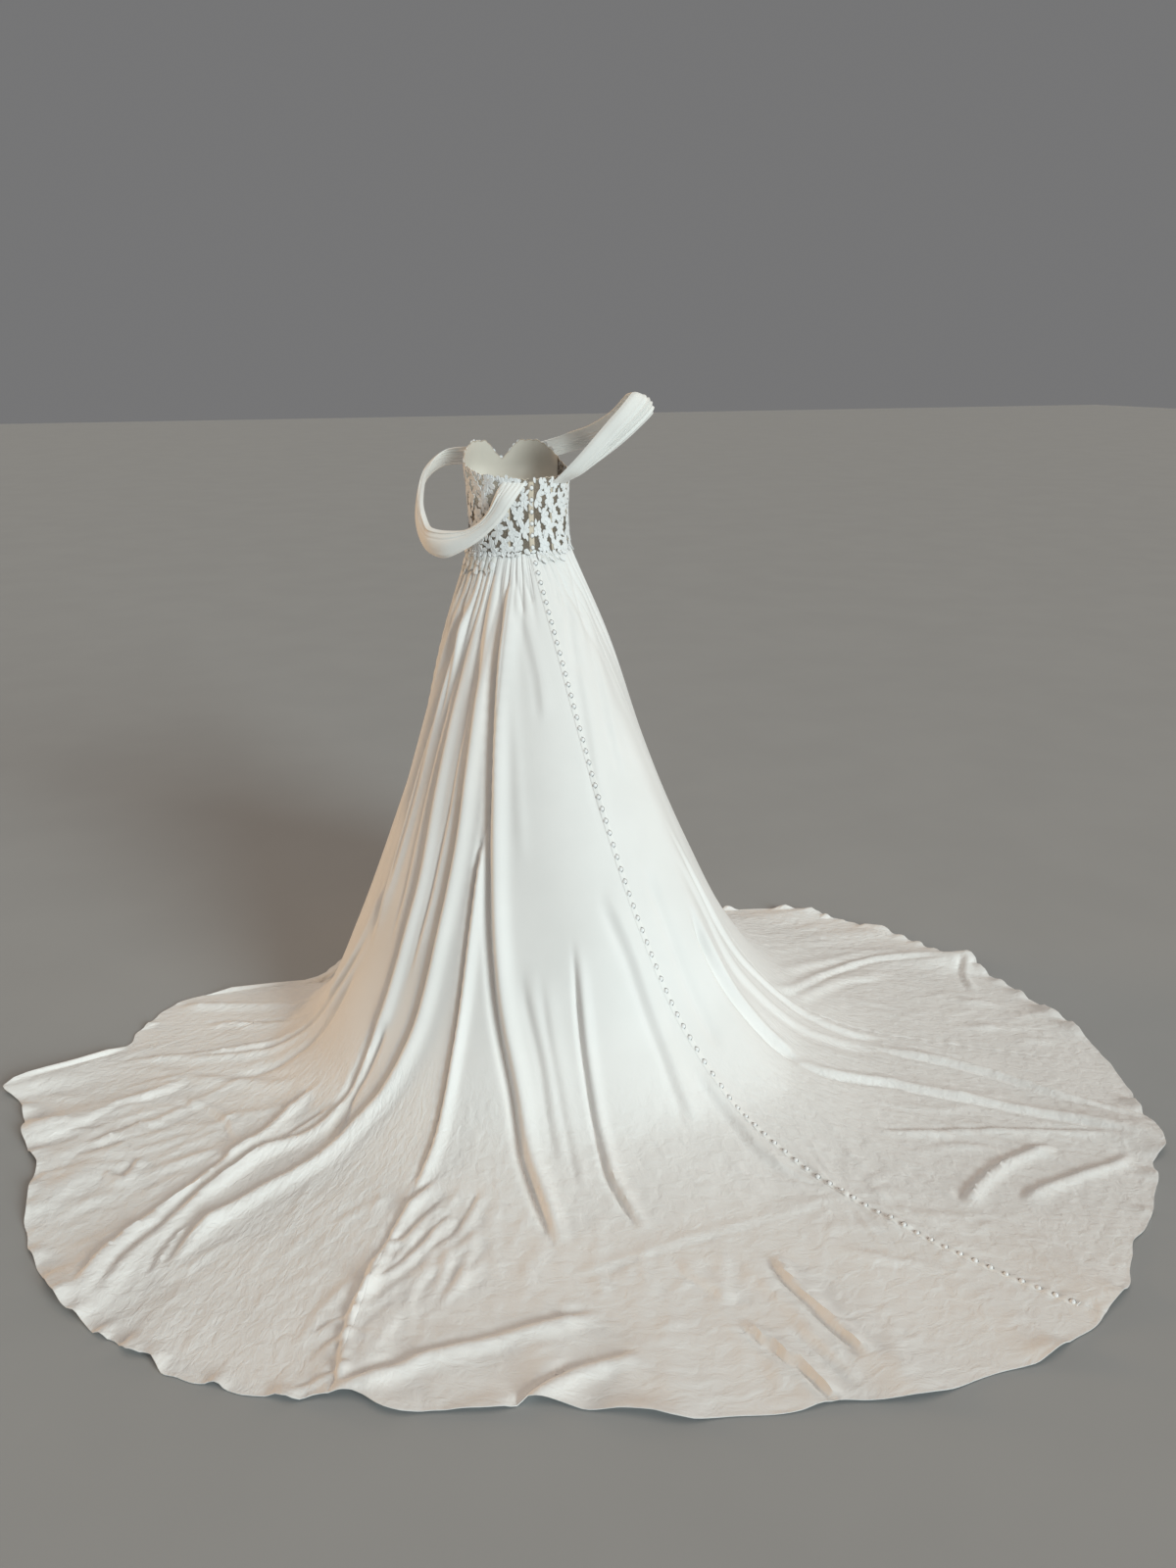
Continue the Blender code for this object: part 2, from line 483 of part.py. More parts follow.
def probe(surface, direction, share):
    """Steps of a surface across one degree, and down along its thread."""
    across = (surface(direction + PROBE_TURN, share)
              - surface(direction - PROBE_TURN, share)) / (2 * PROBE_TURN)
    down = (surface(direction, np.minimum(share + PROBE_SHARE, 1.0))
            - surface(direction, np.maximum(share - PROBE_SHARE, 0.0)))
    return across, down


def facing(surface, direction, share):
    """Outward normals of a surface that is given as a function of direction and share."""
    return unit(np.cross(*probe(surface, direction, share)))


def plain_points(direction, share):
    return plain_skirt(direction, share)[0]


def folded_skirt(direction, share):
    """Points of the skirt's inner side, gathered and folded, on the floor or above it."""
    base, run = plain_skirt(direction, share)
    normal = facing(plain_points, direction, share)
    move = -gather_depth(direction, run)
    for fold in FOLDS:
        move = move + fold_height(base, fold) * smooth_step(run / FOLD_START)
    points = base + normal * move[..., None]
    points[..., 2] = np.clip(points[..., 2], FLOOR, 0.0)
    return points


def skirt_columns():
    """Directions of the columns, and how far each one lies beside its seam (m)."""
    plain = set()
    for centre, _, half, _ in GATHERS:
        plain.add(centre)
        if abs(centre) < BACK_REACH:
            plain.update((centre - GATHER_SHOULDER * half, centre + GATHER_SHOULDER * half))
    seams = sorted(SEAMS.values())
    columns = [(d, 0.0) for d in sorted(plain) if min(abs(d - s) for s in seams) > SEAM_CLEAR]
    for name, seam in SEAMS.items():
        beside = [SEAM_GAP / 2]
        if name == "centre_back":
            beside.append(PLACKET_SEAT)
        for distance in beside:
            columns += [(seam, -distance), (seam, distance)]
    columns.sort()
    filled = []
    for index, (direction, distance) in enumerate(columns):
        following = columns[(index + 1) % len(columns)][0]
        span = (following - direction) % 360.0
        filled.append((direction, distance))
        middle = direction + span / 2
        widest = WIDEST_COLUMN if abs(middle) < BACK_REACH else WIDEST_FRONT
        extra = int(span // widest)
        filled += [(direction + span * (i + 1) / (extra + 1), 0.0) for i in range(extra)]
    return filled


def skirt_grid(columns):
    """Inner points, outer points and normals of the whole skirt, a row for each column."""
    share = np.broadcast_to(np.array(ROWS), (len(columns), len(ROWS)))
    direction = np.array([c[0] for c in columns], float)[:, None] + np.zeros_like(share)
    beside = np.array([c[1] for c in columns], float)[:, None, None]
    across, down = probe(folded_skirt, direction, share)
    normal = unit(np.cross(across, down))
    inner = folded_skirt(direction, share) + beside * unit(np.cross(down, normal))
    inner[..., 2] = np.maximum(inner[..., 2], FLOOR)
    outer = inner + normal * CREPE
    inner[:, 0, 2] = outer[:, 0, 2] = 0.0
    return inner, outer, normal


# ---------------------------------------------------------------- meshes
def add_piece(name, points, faces, material):
    """A named object from points and outward faces."""
    mesh = bpy.data.meshes.new(name)
    mesh.from_pydata([tuple(map(float, p)) for p in points], [], faces)
    mesh.materials.append(material)
    mesh.validate()
    piece = bpy.data.objects.new(name, mesh)
    bpy.context.collection.objects.link(piece)
    return piece


def add_wall(name, inner, outer, material):
    """A closed wall between two grids of points, both seen from outside with rows going down."""
    columns, rows = inner.shape[:2]
    points = np.concatenate([outer.reshape(-1, 3), inner.reshape(-1, 3)])
    half = columns * rows

    def at(column, row, side):
        return side * half + column * rows + row

    faces = []
    for column in range(columns - 1):
        for row in range(rows - 1):
            a, b = (column, row), (column, row + 1)
            c, d = (column + 1, row + 1), (column + 1, row)
            one = np.linalg.norm(outer[a] - outer[c])
            other = np.linalg.norm(outer[b] - outer[d])
            halves = ((a, c, b), (a, d, c)) if one < other else ((a, d, b), (b, d, c))
            for corners in halves:
                faces.append([at(*corner, 0) for corner in corners])
                faces.append([at(*corner, 1) for corner in reversed(corners)])
    rim = [(column, 0) for column in range(columns)]
    rim += [(columns - 1, row) for row in range(1, rows)]
    rim += [(column, rows - 1) for column in range(columns - 2, -1, -1)]
    rim += [(0, row) for row in range(rows - 2, 0, -1)]
    for here, there in zip(rim, rim[1:] + rim[:1]):
        # both pieces at a seam split their rims alike, so that the gap stays open
        if here[1] <= there[1]:
            faces.append([at(*here, 0), at(*there, 1), at(*there, 0)])
            faces.append([at(*here, 0), at(*here, 1), at(*there, 1)])
        else:
            faces.append([at(*here, 0), at(*here, 1), at(*there, 0)])
            faces.append([at(*here, 1), at(*there, 1), at(*there, 0)])
    return add_piece(name, points, faces, material)


def make_skirt(columns, inner, outer, material):
    """The five panels, parted at the seams."""
    def column_of(seam, side):
        return columns.index((SEAMS[seam], side * SEAM_GAP / 2))

    for name, start, end in PANELS:
        first, last = column_of(start, 1), column_of(end, -1)
        picked = np.arange(first, last + 1 + (len(columns) if last < first else 0)) % len(columns)
        add_wall(name, inner[picked], outer[picked], material)


# ---------------------------------------------------------------- the placket and buttons
def along(line, shares, wanted):
    """Points of a line given at `shares`, read at `wanted`."""
    return np.stack([np.interp(wanted, shares, line[:, axis]) for axis in range(3)], -1)


def button_ring(centre, across, down, normal, radius, height):
    """Points of a ring round a button, from the side nearest the waist on."""
    ring = []
    for side in range(BUTTON_SIDES):
        angle = 2 * math.pi * (side + 0.5) / BUTTON_SIDES
        ring.append(centre + radius * (math.cos(angle) * down + math.sin(angle) * across)
                    + height * normal)
    return ring


def make_placket(name, left, middle, right, material):
    """A strip with a row of buttons on it; each line has one point at each end of a button's cell.

    Its cells are open rectangles round a button's foot, with a plain underside.
    """
    points, faces = [], []
    cells = len(middle) - 1

    def put(point):
        points.append(point)
        return len(points) - 1

    across_all = unit(left - right)
    normals = unit(np.cross(across_all, np.gradient(middle, axis=0)))
    under = [(put(left[i]), put(right[i])) for i in range(cells + 1)]
    lift = normals * PLACKET
    over = [(put(left[i] + lift[i]), put(right[i] + lift[i])) for i in range(cells + 1)]
    for cell in range(cells):
        (ul, ur), (nl, nr) = under[cell], under[cell + 1]
        (tl, tr), (bl, br) = over[cell], over[cell + 1]
        faces += [[ul, ur, nr], [ul, nr, nl]]
        faces += [[ul, nl, bl], [ul, bl, tl], [ur, tr, br], [ur, br, nr]]
        corners = [points[i] for i in (tl, tr, bl, br)]
        centre = sum(corners) / 4
        down = unit(points[bl] + points[br] - points[tl] - points[tr])
        normal = unit(np.cross(across_all[cell], down))
        across = np.cross(down, normal)
        foot = [put(p) for p in button_ring(centre, across, down, normal, BUTTON_RADIUS, 0.0)]
        shoulder = [put(p) for p in button_ring(centre, across, down, normal,
                                                BUTTON_SHOULDER * BUTTON_RADIUS,
                                                BUTTON_SHOULDER_RISE * BUTTON_HEIGHT)]
        top = put(centre + normal * BUTTON_HEIGHT)
        # feet run down-left, left, up-left, up-right, right, down-right
        f = foot
        faces += [[f[0], bl, br], [f[0], br, f[5]], [f[0], f[1], bl], [f[1], tl, bl],
                  [f[1], f[2], tl], [f[2], f[3], tl], [f[3], tr, tl], [f[3], f[4], tr],
                  [f[4], br, tr], [f[4], f[5], br]]
        for side in range(BUTTON_SIDES):
            n = (side + 1) % BUTTON_SIDES
            faces += [[foot[n], foot[side], shoulder[side]], [foot[n], shoulder[side], shoulder[n]],
                      [shoulder[n], shoulder[side], top]]
    (ul, ur), (tl, tr) = under[0], over[0]
    faces += [[ul, tl, tr], [ul, tr, ur]]
    (ul, ur), (tl, tr) = under[-1], over[-1]
    faces += [[ul, ur, tr], [ul, tr, tl]]
    piece = add_piece(name, points, faces, material)
    piece.data.set_sharp_from_angle(angle=math.radians(SHARP_EDGE))
    return piece


def make_skirt_placket(columns, outer, material):
    """The placket that lies along the centre back seam, with a button in each pitch."""
    distances = (-PLACKET_SEAT, -SEAM_GAP / 2, SEAM_GAP / 2, PLACKET_SEAT)
    lines = [outer[columns.index((0, distance))] for distance in distances]
    right, seam_right, seam_left, left = lines
    middle = (seam_left + seam_right) / 2
    run = np.concatenate([[0.0], np.cumsum(np.linalg.norm(np.diff(middle, axis=0), axis=-1))])
    count = int((run[-1] * PLACKET_END - PLACKET_TOP) / BUTTON_PITCH)
    wanted = PLACKET_TOP + BUTTON_PITCH * np.arange(count + 1)
    rails = [along(line, run, wanted) for line in (left, middle, right)]
    left, middle, right = rails
    inset = PLACKET_HALF / PLACKET_SEAT
    left, right = middle + (left - middle) * inset, middle + (right - middle) * inset
    normal = unit(np.cross(left - right, np.gradient(middle, axis=0)))
    lift = normal * LAY_GAP
    crest = np.maximum(0.0, ((middle - (left + right) / 2) * normal).sum(-1))[:, None] * normal
    return make_placket("skirt_placket", left + lift + crest, middle + lift, right + lift + crest,
                        material)


# ---------------------------------------------------------------- the bodice
def bodice_point(direction, height, out=0.0):
    """Points of the bodice's inner side, moved out by `out`."""
    direction, height = np.broadcast_arrays(np.asarray(direction, float),
                                            np.asarray(height, float))
    table = np.array(BODICE)
    side, back, front = (curve(table[:, 0], table[:, i], height) for i in (1, 2, 3))
    angle = np.radians(direction)
    depth = np.where(np.cos(angle) >= 0, back, front)
    radius = 1.0 / np.sqrt((np.sin(angle) / side) ** 2 + (np.cos(angle) / depth) ** 2)
    for way in (1, -1):
        away = (direction - way * CUP["direction"] + 180.0) % 360.0 - 180.0
        rise = (height - CUP["height"]) / CUP["half_height"]
        radius = radius + CUP["depth"] * np.exp(-(away / CUP["half_width"]) ** 2 - rise ** 2)
    radius = radius + out
    return np.stack([radius * np.sin(angle), radius * np.cos(angle), height], -1)


def neckline(direction):
    """Height of the top edge, with its small scallops."""
    height, = round_table(NECKLINE, direction)
    ripple = np.abs(np.sin(np.radians(direction) * FLOWER_COLUMNS))
    return height + SCALLOP * ripple


def lace_layout():
    """The lace laid flat: its flowers and its gaps.

    A flower is (length from the centre back, height, radius, turn); a gap is (length, height, half
    width, half height, turn, corners).
    """
    flowers, gaps = [], []
    pitch = LACE_GIRTH / FLOWER_COLUMNS
    for row in range(FLOWER_ROWS):
        for column in range(FLOWER_COLUMNS):
            wobble = math.sin(2.3 * row + 1.7 * column)
            length = (column + 0.5 * (row % 2)) * pitch + FLOWER_WANDER * wobble
            height = FIRST_FLOWER + FLOWER_RISE * row
            radius = FLOWER_RADIUS * (1.0 + 0.10 * math.cos(3.1 * column + row))
            flowers.append((length, height + FLOWER_WANDER * wobble, radius,
                            0.9 * row + 1.3 * column))
            size = 0.5 - 0.12 * abs(math.sin(1.9 * column + 0.8 * row))
            gaps.append((length + pitch / 2, height + 0.12 * FLOWER_RISE * wobble,
                         GAP_WIDTH * size, GAP_HEIGHT * size, 0.4 * wobble, GAP_CORNERS))
            gaps.append((length + 0.12 * pitch, height + 0.52 * FLOWER_RISE,
                         0.5 * SMALL_GAP, 0.6 * SMALL_GAP, 0.7 * wobble, SMALL_CORNERS))
    gaps.sort(key=lambda gap: -gap[3])
    return flowers, gaps


def gap_outline(gap, start):
    """Corners of a gap in the lace laid flat, at its first place after the length `start`."""
    length, height, half_width, half_height, turn, count = gap
    length = start + (length - start) % LACE_GIRTH
    corners = []
    for corner in range(count):
        angle = 2 * math.pi * corner / count + turn
        reach = 1.0 + 0.12 * math.cos(2 * angle + 5 * turn)
        corners.append((length + half_width * reach * math.cos(angle),
                        height + half_height * reach * math.sin(angle)))
    return corners


def lined(spot):
    """Whether a spot of the flat lace belongs to the cups, which have no gaps."""
    direction = (spot[0] / LACE_SCALE + 180.0) % 360.0 - 180.0
    return abs(direction) > CUPS_FROM and spot[1] > OPEN_BELOW


def spread(first, last, length):
    """Values from first to last, about EDGE_STEP apart over a length."""
    return np.linspace(first, last, max(1, round(length / EDGE_STEP)) + 1)


def lace_outline(left, right):
    """The edge of a piece of the flat lace, from its lower left corner on."""
    lengths = spread(left, right, right - left)
    tops = neckline(lengths / LACE_SCALE)
    outline = [(x, BODICE_BASE) for x in lengths]
    outline += [(right, z) for z in spread(BODICE_BASE, tops[-1], tops[-1])[1:-1]]
    outline += [(x, z) for x, z in zip(lengths[::-1], tops[::-1])]
    outline += [(left, z) for z in spread(tops[0], BODICE_BASE, tops[0])[1:-1]]
    return outline


def ring_edges(first, count):
    return [(first + i, first + (i + 1) % count) for i in range(count)]


def middle_of(spots):
    return tuple(sum(values) / len(spots) for values in zip(*spots))


def make_lace(name, start, end, flowers, gaps, material):
    """A piece of the bodice: a wall with the gaps cut through and the flowers raised."""
    left = start * LACE_SCALE + SEAM_GAP / 2
    right = end * LACE_SCALE - SEAM_GAP / 2

    def inside(spot, margin):
        x, z = spot
        return (left + margin < x < right - margin
                and BODICE_BASE + margin < z < float(neckline(x / LACE_SCALE)) - margin)

    outline = lace_outline(left, right)
    points, edges, holes = list(outline), ring_edges(0, len(outline)), []
    for gap in gaps:
        corners = gap_outline(gap, left)
        middle, half = middle_of(corners), max(gap[2], gap[3])
        fits = all(inside(spot, LACE_MARGIN) for spot in corners)
        clear = all(math.dist(middle, centre) > reach + half for _, centre, reach in holes)
        if fits and clear and not lined(middle):
            edges += ring_edges(len(points), len(corners))
            points += corners
            holes.append((corners, middle, GAP_CLEAR * half))

    relief = [0.0] * len(points)      # the petals stand up round each flower's sunk middle
    for length, height, radius, turn in flowers:
        middle = left + (length - left) % LACE_GIRTH
        for petal in range(FLOWER_PETALS):
            angle = turn + 2 * math.pi * petal / FLOWER_PETALS
            spot = (middle + PETAL_MIDDLE * radius * math.cos(angle),
                    height + PETAL_MIDDLE * radius * math.sin(angle))
            clear = all(math.dist(spot, centre) > reach for _, centre, reach in holes)
            if clear and inside(spot, LACE_MARGIN / 2):
                points.append(spot)
                relief.append(0.0 if under_swag(spot) else MOTIF_RELIEF)

    result = delaunay_2d_cdt([Vector(p) for p in points], edges, [], 0, CDT_CLOSE)
    given = [origin[0] for origin in result[3]]
    kept = []
    for face in result[2]:
        triangle = [given[i] for i in face]
        middle = middle_of([points[i] for i in triangle])
        if point_inside(middle, outline) and not any(point_inside(middle, hole[0])
                                                     for hole in holes):
            kept.append(triangle)
    lengths, heights = np.array(points).T
    inner = bodice_point(lengths / LACE_SCALE, heights)
    outer = bodice_point(lengths / LACE_SCALE, heights, LACE + np.array(relief))
    add_sheet(name, inner, outer, kept, material)


def point_inside(point, shape):
    """Whether a point lies inside a closed outline."""
    x, z = point
    within = False
    for (x1, z1), (x2, z2) in zip(shape, shape[1:] + shape[:1]):
        if (z1 > z) != (z2 > z) and x < x1 + (z - z1) * (x2 - x1) / (z2 - z1):
            within = not within
    return within


def add_sheet(name, inner, outer, triangles, material):
    """A closed wall from a net of triangles, its edges and the edges of its gaps rimmed.

    The net runs anticlockwise with lengths to the right, so its own faces look inwards.
    """
    count = len(outer)
    faces, border = [], set()
    for a, b, c in triangles:
        faces += [[a, c, b], [count + a, count + b, count + c]]
        for edge in ((a, c), (c, b), (b, a)):
            if edge[::-1] in border:
                border.remove(edge[::-1])
            else:
                border.add(edge)
    for a, b in sorted(border):
        faces += [[b, a, count + a], [b, count + a, count + b]]
    return add_piece(name, np.concatenate([outer, inner]), faces, material)


def make_bodice(material, placket_material):
    """Two back pieces and a front, and the placket between the backs."""
    flowers, gaps = lace_layout()
    for name, start, end in BODICE_PIECES:
        make_lace(name, start, end, flowers, gaps, material)
    top = float(neckline(0.0)) - BODICE_PLACKET_TOP
    count = round((top - BODICE_BASE) / BUTTON_PITCH)
    heights = np.linspace(top, BODICE_BASE, count + 1)
    half = BODICE_PIECES[0][1] - SEAM_GAP / LACE_SCALE
    rails = [bodice_point(direction, heights) for direction in (half, 0.0, -half)]
    make_placket("bodice_placket", *rails, placket_material)


# ---------------------------------------------------------------- the swags
def swag_end(corners, across):
    """Points along a band's sewn end, on the lace."""
    (direction_a, height_a), (direction_b, height_b) = corners
    return bodice_point(direction_a + (direction_b - direction_a) * across,
                        height_a + (height_b - height_a) * across, LACE + LAY_GAP)


def make_swag(name, swag, material):
    """A folded band between its two edges, open where the arm goes through."""
    across = np.linspace(0.0, 1.0, SWAG_COLUMNS + 1)
    share = np.linspace(0.0, 1.0, SWAG_ROWS + 1)
    ends = [swag_end(swag[end], across) for end in ("back", "front")]
    edges = []
    for edge, corner in ((0, 0), (1, -1)):
        line = [ends[0][corner], *(station[edge] for station in swag["stations"]),
                ends[1][corner]]
        line = smooth_line(line, 8)
        edges.append(along(line, np.linspace(0.0, 1.0, len(line)), share))
    upper, lower = edges
    middle = upper[:, None] + (lower - upper)[:, None] * across[None, :, None]
    middle = middle + (ends[0] - middle[0]) * smooth_step(1 - share / SWAG_SEATED)[:, None, None]
    middle = middle + (ends[1] - middle[-1]) * smooth_step(1 - (1 - share) / SWAG_SEATED)[:, None, None]
    width = np.linalg.norm(lower - upper, axis=-1)
    normal = swag["outward"] * unit(np.cross(np.gradient(middle, axis=0), (lower - upper)[:, None]))
    bulge = SWAG_BULGE * width[:, None] * np.sin(math.pi * across)[None]
    crimp = SWAG_CRIMP * np.sin(2 * math.pi * SWAG_CRIMPS * across + 0.6)[None]
    free = smooth_step(share / SWAG_OPENS) * smooth_step((1 - share) / SWAG_OPENS)
    inner = middle + normal * ((bulge + crimp) * free[:, None])[..., None]
    face = swag["outward"] * unit(np.cross(np.gradient(inner, axis=0), np.gradient(inner, axis=1)))
    outer = inner + face * CREPE
    if swag["outward"] < 0:
        inner, outer = inner[:, ::-1], outer[:, ::-1]
    add_wall(name, inner, outer, material)


def under_swag(spot):
    """Whether a spot of the flat lace is under the sewn end of a swag, where no flower is raised."""
    direction = (spot[0] / LACE_SCALE + 180.0) % 360.0 - 180.0
    for swag in SWAGS.values():
        for end in ("back", "front"):
            (a, high), (b, low) = swag[end]
            beside = min(a, b) - SWAG_SHADOW["beside"] < direction < max(a, b) + SWAG_SHADOW["beside"]
            level = low - SWAG_SHADOW["below"] < spot[1] < high + SWAG_SHADOW["above"]
            if beside and level:
                return True
    return False


# ---------------------------------------------------------------- the lace on the skirt's top
def make_waist_lace(name, columns, outer, normals, span, depth, material):
    """A band of lace over the gathers, made from the skirt's own points moved out."""
    picked = [i for i, (direction, distance) in enumerate(columns)
              if span[0] <= direction <= span[1] and distance <= 0.0]
    shell, normal = outer[picked], normals[picked]
    run = np.linalg.norm(np.diff(shell, axis=1), axis=-1)
    run = np.concatenate([np.zeros((len(picked), 1)), np.cumsum(run, axis=1)], axis=1)
    inner, lift = [], []
    for index, (line, lengths, out) in enumerate(zip(shell, run, normal)):
        scallop = 1.0 - WAIST_LACE_SCALLOP * (1.0 - math.cos(0.5 * math.pi * index))
        wanted = np.linspace(WAIST_LACE_TOP, depth * scallop, WAIST_LACE_ROWS)
        lift.append(along(out, lengths, wanted))
        inner.append(along(line, lengths, wanted) + lift[-1] * WAIST_LACE_LIFT)
    add_wall(name, np.array(inner), np.array(inner) + np.array(lift) * LACE, material)


# ---------------------------------------------------------------- materials and main
def plain_material(name, colour, roughness):
    material = bpy.data.materials.new(name)
    material.use_nodes = True
    shader = material.node_tree.nodes["Principled BSDF"]
    shader.inputs["Base Color"].default_value = (*colour, 1.0)
    shader.inputs["Roughness"].default_value = roughness
    shader.inputs["Metallic"].default_value = 0.0
    return material


def main():
    for old in list(bpy.data.objects):
        bpy.data.objects.remove(old, do_unlink=True)
    dress = bpy.data.collections.new("wedding_dress")
    bpy.context.scene.collection.children.link(dress)
    layer = bpy.context.view_layer.layer_collection.children[dress.name]
    bpy.context.view_layer.active_layer_collection = layer

    crepe = plain_material("ivory_crepe", (0.80, 0.78, 0.74), 0.72)
    lace = plain_material("ivory_lace", (0.86, 0.85, 0.83), 0.65)
    covered = plain_material("covered_buttons", (0.82, 0.80, 0.76), 0.45)

    columns = skirt_columns()
    inner, outer, normals = skirt_grid(columns)
    make_skirt(columns, inner, outer, crepe)
    make_skirt_placket(columns, outer, covered)
    make_bodice(lace, covered)
    for name, start, end, depth in WAIST_LACE:
        make_waist_lace(name, columns, outer, normals, (start, end), depth, lace)
    for name, swag in SWAGS.items():
        make_swag(name, swag, crepe)


main()
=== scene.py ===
"""Looks of the wedding dress: fine crepe, corded lace on net, swags and covered buttons.

Metres, +Z up, in the part's own frame: the origin is on the wearer's axis at the waist seam, +Y is
the wearer's back and +X the wearer's left. Directions round the body are degrees from the centre
back, positive towards the wearer's left. The skirt's form comes from the same tables as the solids;
small gathers, creases and puckers are added here.
"""
import math

import bpy
import numpy as np
from mathutils import Matrix, Vector, noise


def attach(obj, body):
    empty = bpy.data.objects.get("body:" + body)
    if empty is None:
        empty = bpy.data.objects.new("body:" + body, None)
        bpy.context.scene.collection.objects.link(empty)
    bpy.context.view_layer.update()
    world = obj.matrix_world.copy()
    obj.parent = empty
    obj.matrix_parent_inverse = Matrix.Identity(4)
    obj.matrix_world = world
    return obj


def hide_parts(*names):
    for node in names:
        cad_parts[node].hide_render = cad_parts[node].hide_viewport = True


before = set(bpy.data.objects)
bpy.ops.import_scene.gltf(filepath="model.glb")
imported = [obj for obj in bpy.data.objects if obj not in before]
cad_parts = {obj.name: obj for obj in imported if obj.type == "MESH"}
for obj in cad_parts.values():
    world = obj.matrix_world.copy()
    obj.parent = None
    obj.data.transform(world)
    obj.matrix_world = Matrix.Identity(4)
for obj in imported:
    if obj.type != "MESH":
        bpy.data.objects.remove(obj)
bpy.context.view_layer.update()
BODY = "root"

# ---------------------------------------------------------------- the camera, as in the photograph
IMAGE_WIDTH, IMAGE_HEIGHT = 1200, 1600
LENS, SENSOR = 27.0, 36.0      # millimetres
VIEW_FROM = 21                 # degrees from the wearer's back towards the wearer's left
CAMERA_PITCH = 20              # degrees down
CAMERA_HEIGHT = 1.54           # above the floor
CAMERA_DISTANCE = 2.80         # from the wearer's axis, along the floor
AXIS_PIXEL = 530               # column of the wearer's axis, at WAIST_LEVEL
WAIST_LEVEL = 1.10             # above the floor

# name, azimuth from the wearer's back towards the left, elevation, strength, softness, colour
LIGHTS = (
    ("window", -22, 18, 2.40, 26, (0.865, 1.0, 1.01)),
    ("ceiling", 0, 86, 0.74, 60, (1.0, 0.82, 0.66)),
    ("lamp_left", 128, 5, 1.45, 16, (1.0, 0.66, 0.34)),
    ("lamp_right", -104, 16, 0.26, 24, (1.0, 0.62, 0.38)),
)
WORLD_COLOUR = (0.18, 0.18, 0.182)
FLOOR_REACH = 30.0

# ---------------------------------------------------------------- driving sizes
WAIST_HEIGHT = 1.115           # waist seam above the floor
FLOOR = -WAIST_HEIGHT
CREPE = 0.0020                 # crepe with its lining
LACE = 0.0014                  # corded lace on its net
SEAM_GAP = 0.0003
LAY_GAP = 0.0004               # between a piece and the panel that it lies on

# ---------------------------------------------------------------- the skirt's tables
# Heights of the radii in SECTIONS, from the waist; the last two lie on the floor.
SECTION_HEIGHTS = (0.0, -0.215, -0.465, -0.715, -0.935, -1.065, FLOOR + 0.010, FLOOR)
# direction, then the radius at: waist, hip, thigh, knee, calf, where it lifts off, floor, hem
SECTIONS = (
    (-180, 0.096, 0.155, 0.235, 0.310, 0.370, 0.405, 0.425, 0.435),
    (-140, 0.108, 0.175, 0.258, 0.335, 0.400, 0.442, 0.470, 0.488),
    (-115, 0.119, 0.190, 0.275, 0.360, 0.438, 0.498, 0.545, 0.570),
    (-100, 0.123, 0.202, 0.286, 0.372, 0.457, 0.532, 0.612, 0.665),
    (-93, 0.124, 0.206, 0.290, 0.378, 0.469, 0.550, 0.655, 0.825),
    (-82, 0.124, 0.209, 0.294, 0.386, 0.484, 0.574, 0.715, 0.990),
    (-64, 0.118, 0.216, 0.300, 0.406, 0.522, 0.648, 0.830, 1.255),
    (-49, 0.112, 0.220, 0.322, 0.440, 0.572, 0.732, 0.925, 1.458),
    (-30, 0.104, 0.242, 0.392, 0.535, 0.672, 0.836, 1.060, 1.578),
    (-19, 0.100, 0.265, 0.438, 0.600, 0.730, 0.886, 1.118, 1.606),
    (0, 0.098, 0.280, 0.460, 0.615, 0.730, 0.870, 1.090, 1.518),
    (19, 0.100, 0.270, 0.440, 0.580, 0.700, 0.840, 1.030, 1.418),
    (41, 0.107, 0.235, 0.390, 0.530, 0.650, 0.780, 0.940, 1.442),
    (59, 0.116, 0.214, 0.344, 0.474, 0.596, 0.708, 0.838, 1.378),
    (69, 0.119, 0.208, 0.318, 0.434, 0.550, 0.658, 0.780, 1.280),
    (77, 0.122, 0.203, 0.293, 0.400, 0.512, 0.608, 0.722, 1.248),
    (84, 0.123, 0.200, 0.275, 0.376, 0.478, 0.564, 0.656, 1.238),
    (88, 0.1235, 0.198, 0.266, 0.362, 0.460, 0.540, 0.615, 1.016),
    (93, 0.124, 0.196, 0.260, 0.353, 0.442, 0.514, 0.575, 0.962),
    (99, 0.1235, 0.193, 0.255, 0.343, 0.424, 0.488, 0.530, 0.880),
    (104, 0.1225, 0.190, 0.253, 0.339, 0.415, 0.474, 0.508, 0.560),
    (118, 0.118, 0.180, 0.250, 0.330, 0.402, 0.450, 0.478, 0.500),
    (140, 0.108, 0.168, 0.243, 0.318, 0.382, 0.420, 0.443, 0.458),
)
# Shares of the length at which DRIFT gives a thread's turn.
DRIFT_SHARES = (0.0, 0.25, 0.42, 0.62, 0.80, 1.0)
# direction at the waist, then how many degrees the thread has turned at each share
DRIFT = (
    (-180, 0, 0, 0, 0, 0, 0),
    (-100, 0, 0, 0, 0, 0, 0),
    (-60, 0, -1, -2, -5, -7, -8),
    (-36, 0, -2, -4, -9, -12, -14),
    (0, 0, -1.8, -4.8, -11.9, -15, -19.3),
    (25, 0, 2, 5, 6.5, 7, 6),
    (60, 0, 0, 0, 0, 0, 0),
    (100, 0, 0, 0, 0, 0, 0),
)
# Seams, by their direction at the waist.
SEAMS = {"centre_back": 0, "back_left": 25, "side_left": 100, "side_right": -100,
         "back_right": -36}
# node, the seam that it runs from and the seam that it runs to, towards the wearer's left
PANELS = (
    ("skirt_back_left", "centre_back", "back_left"),
    ("skirt_side_left", "back_left", "side_left"),
    ("skirt_front", "side_left", "side_right"),
    ("skirt_side_right", "side_right", "back_right"),
    ("skirt_back_right", "back_right", "centre_back"),
)
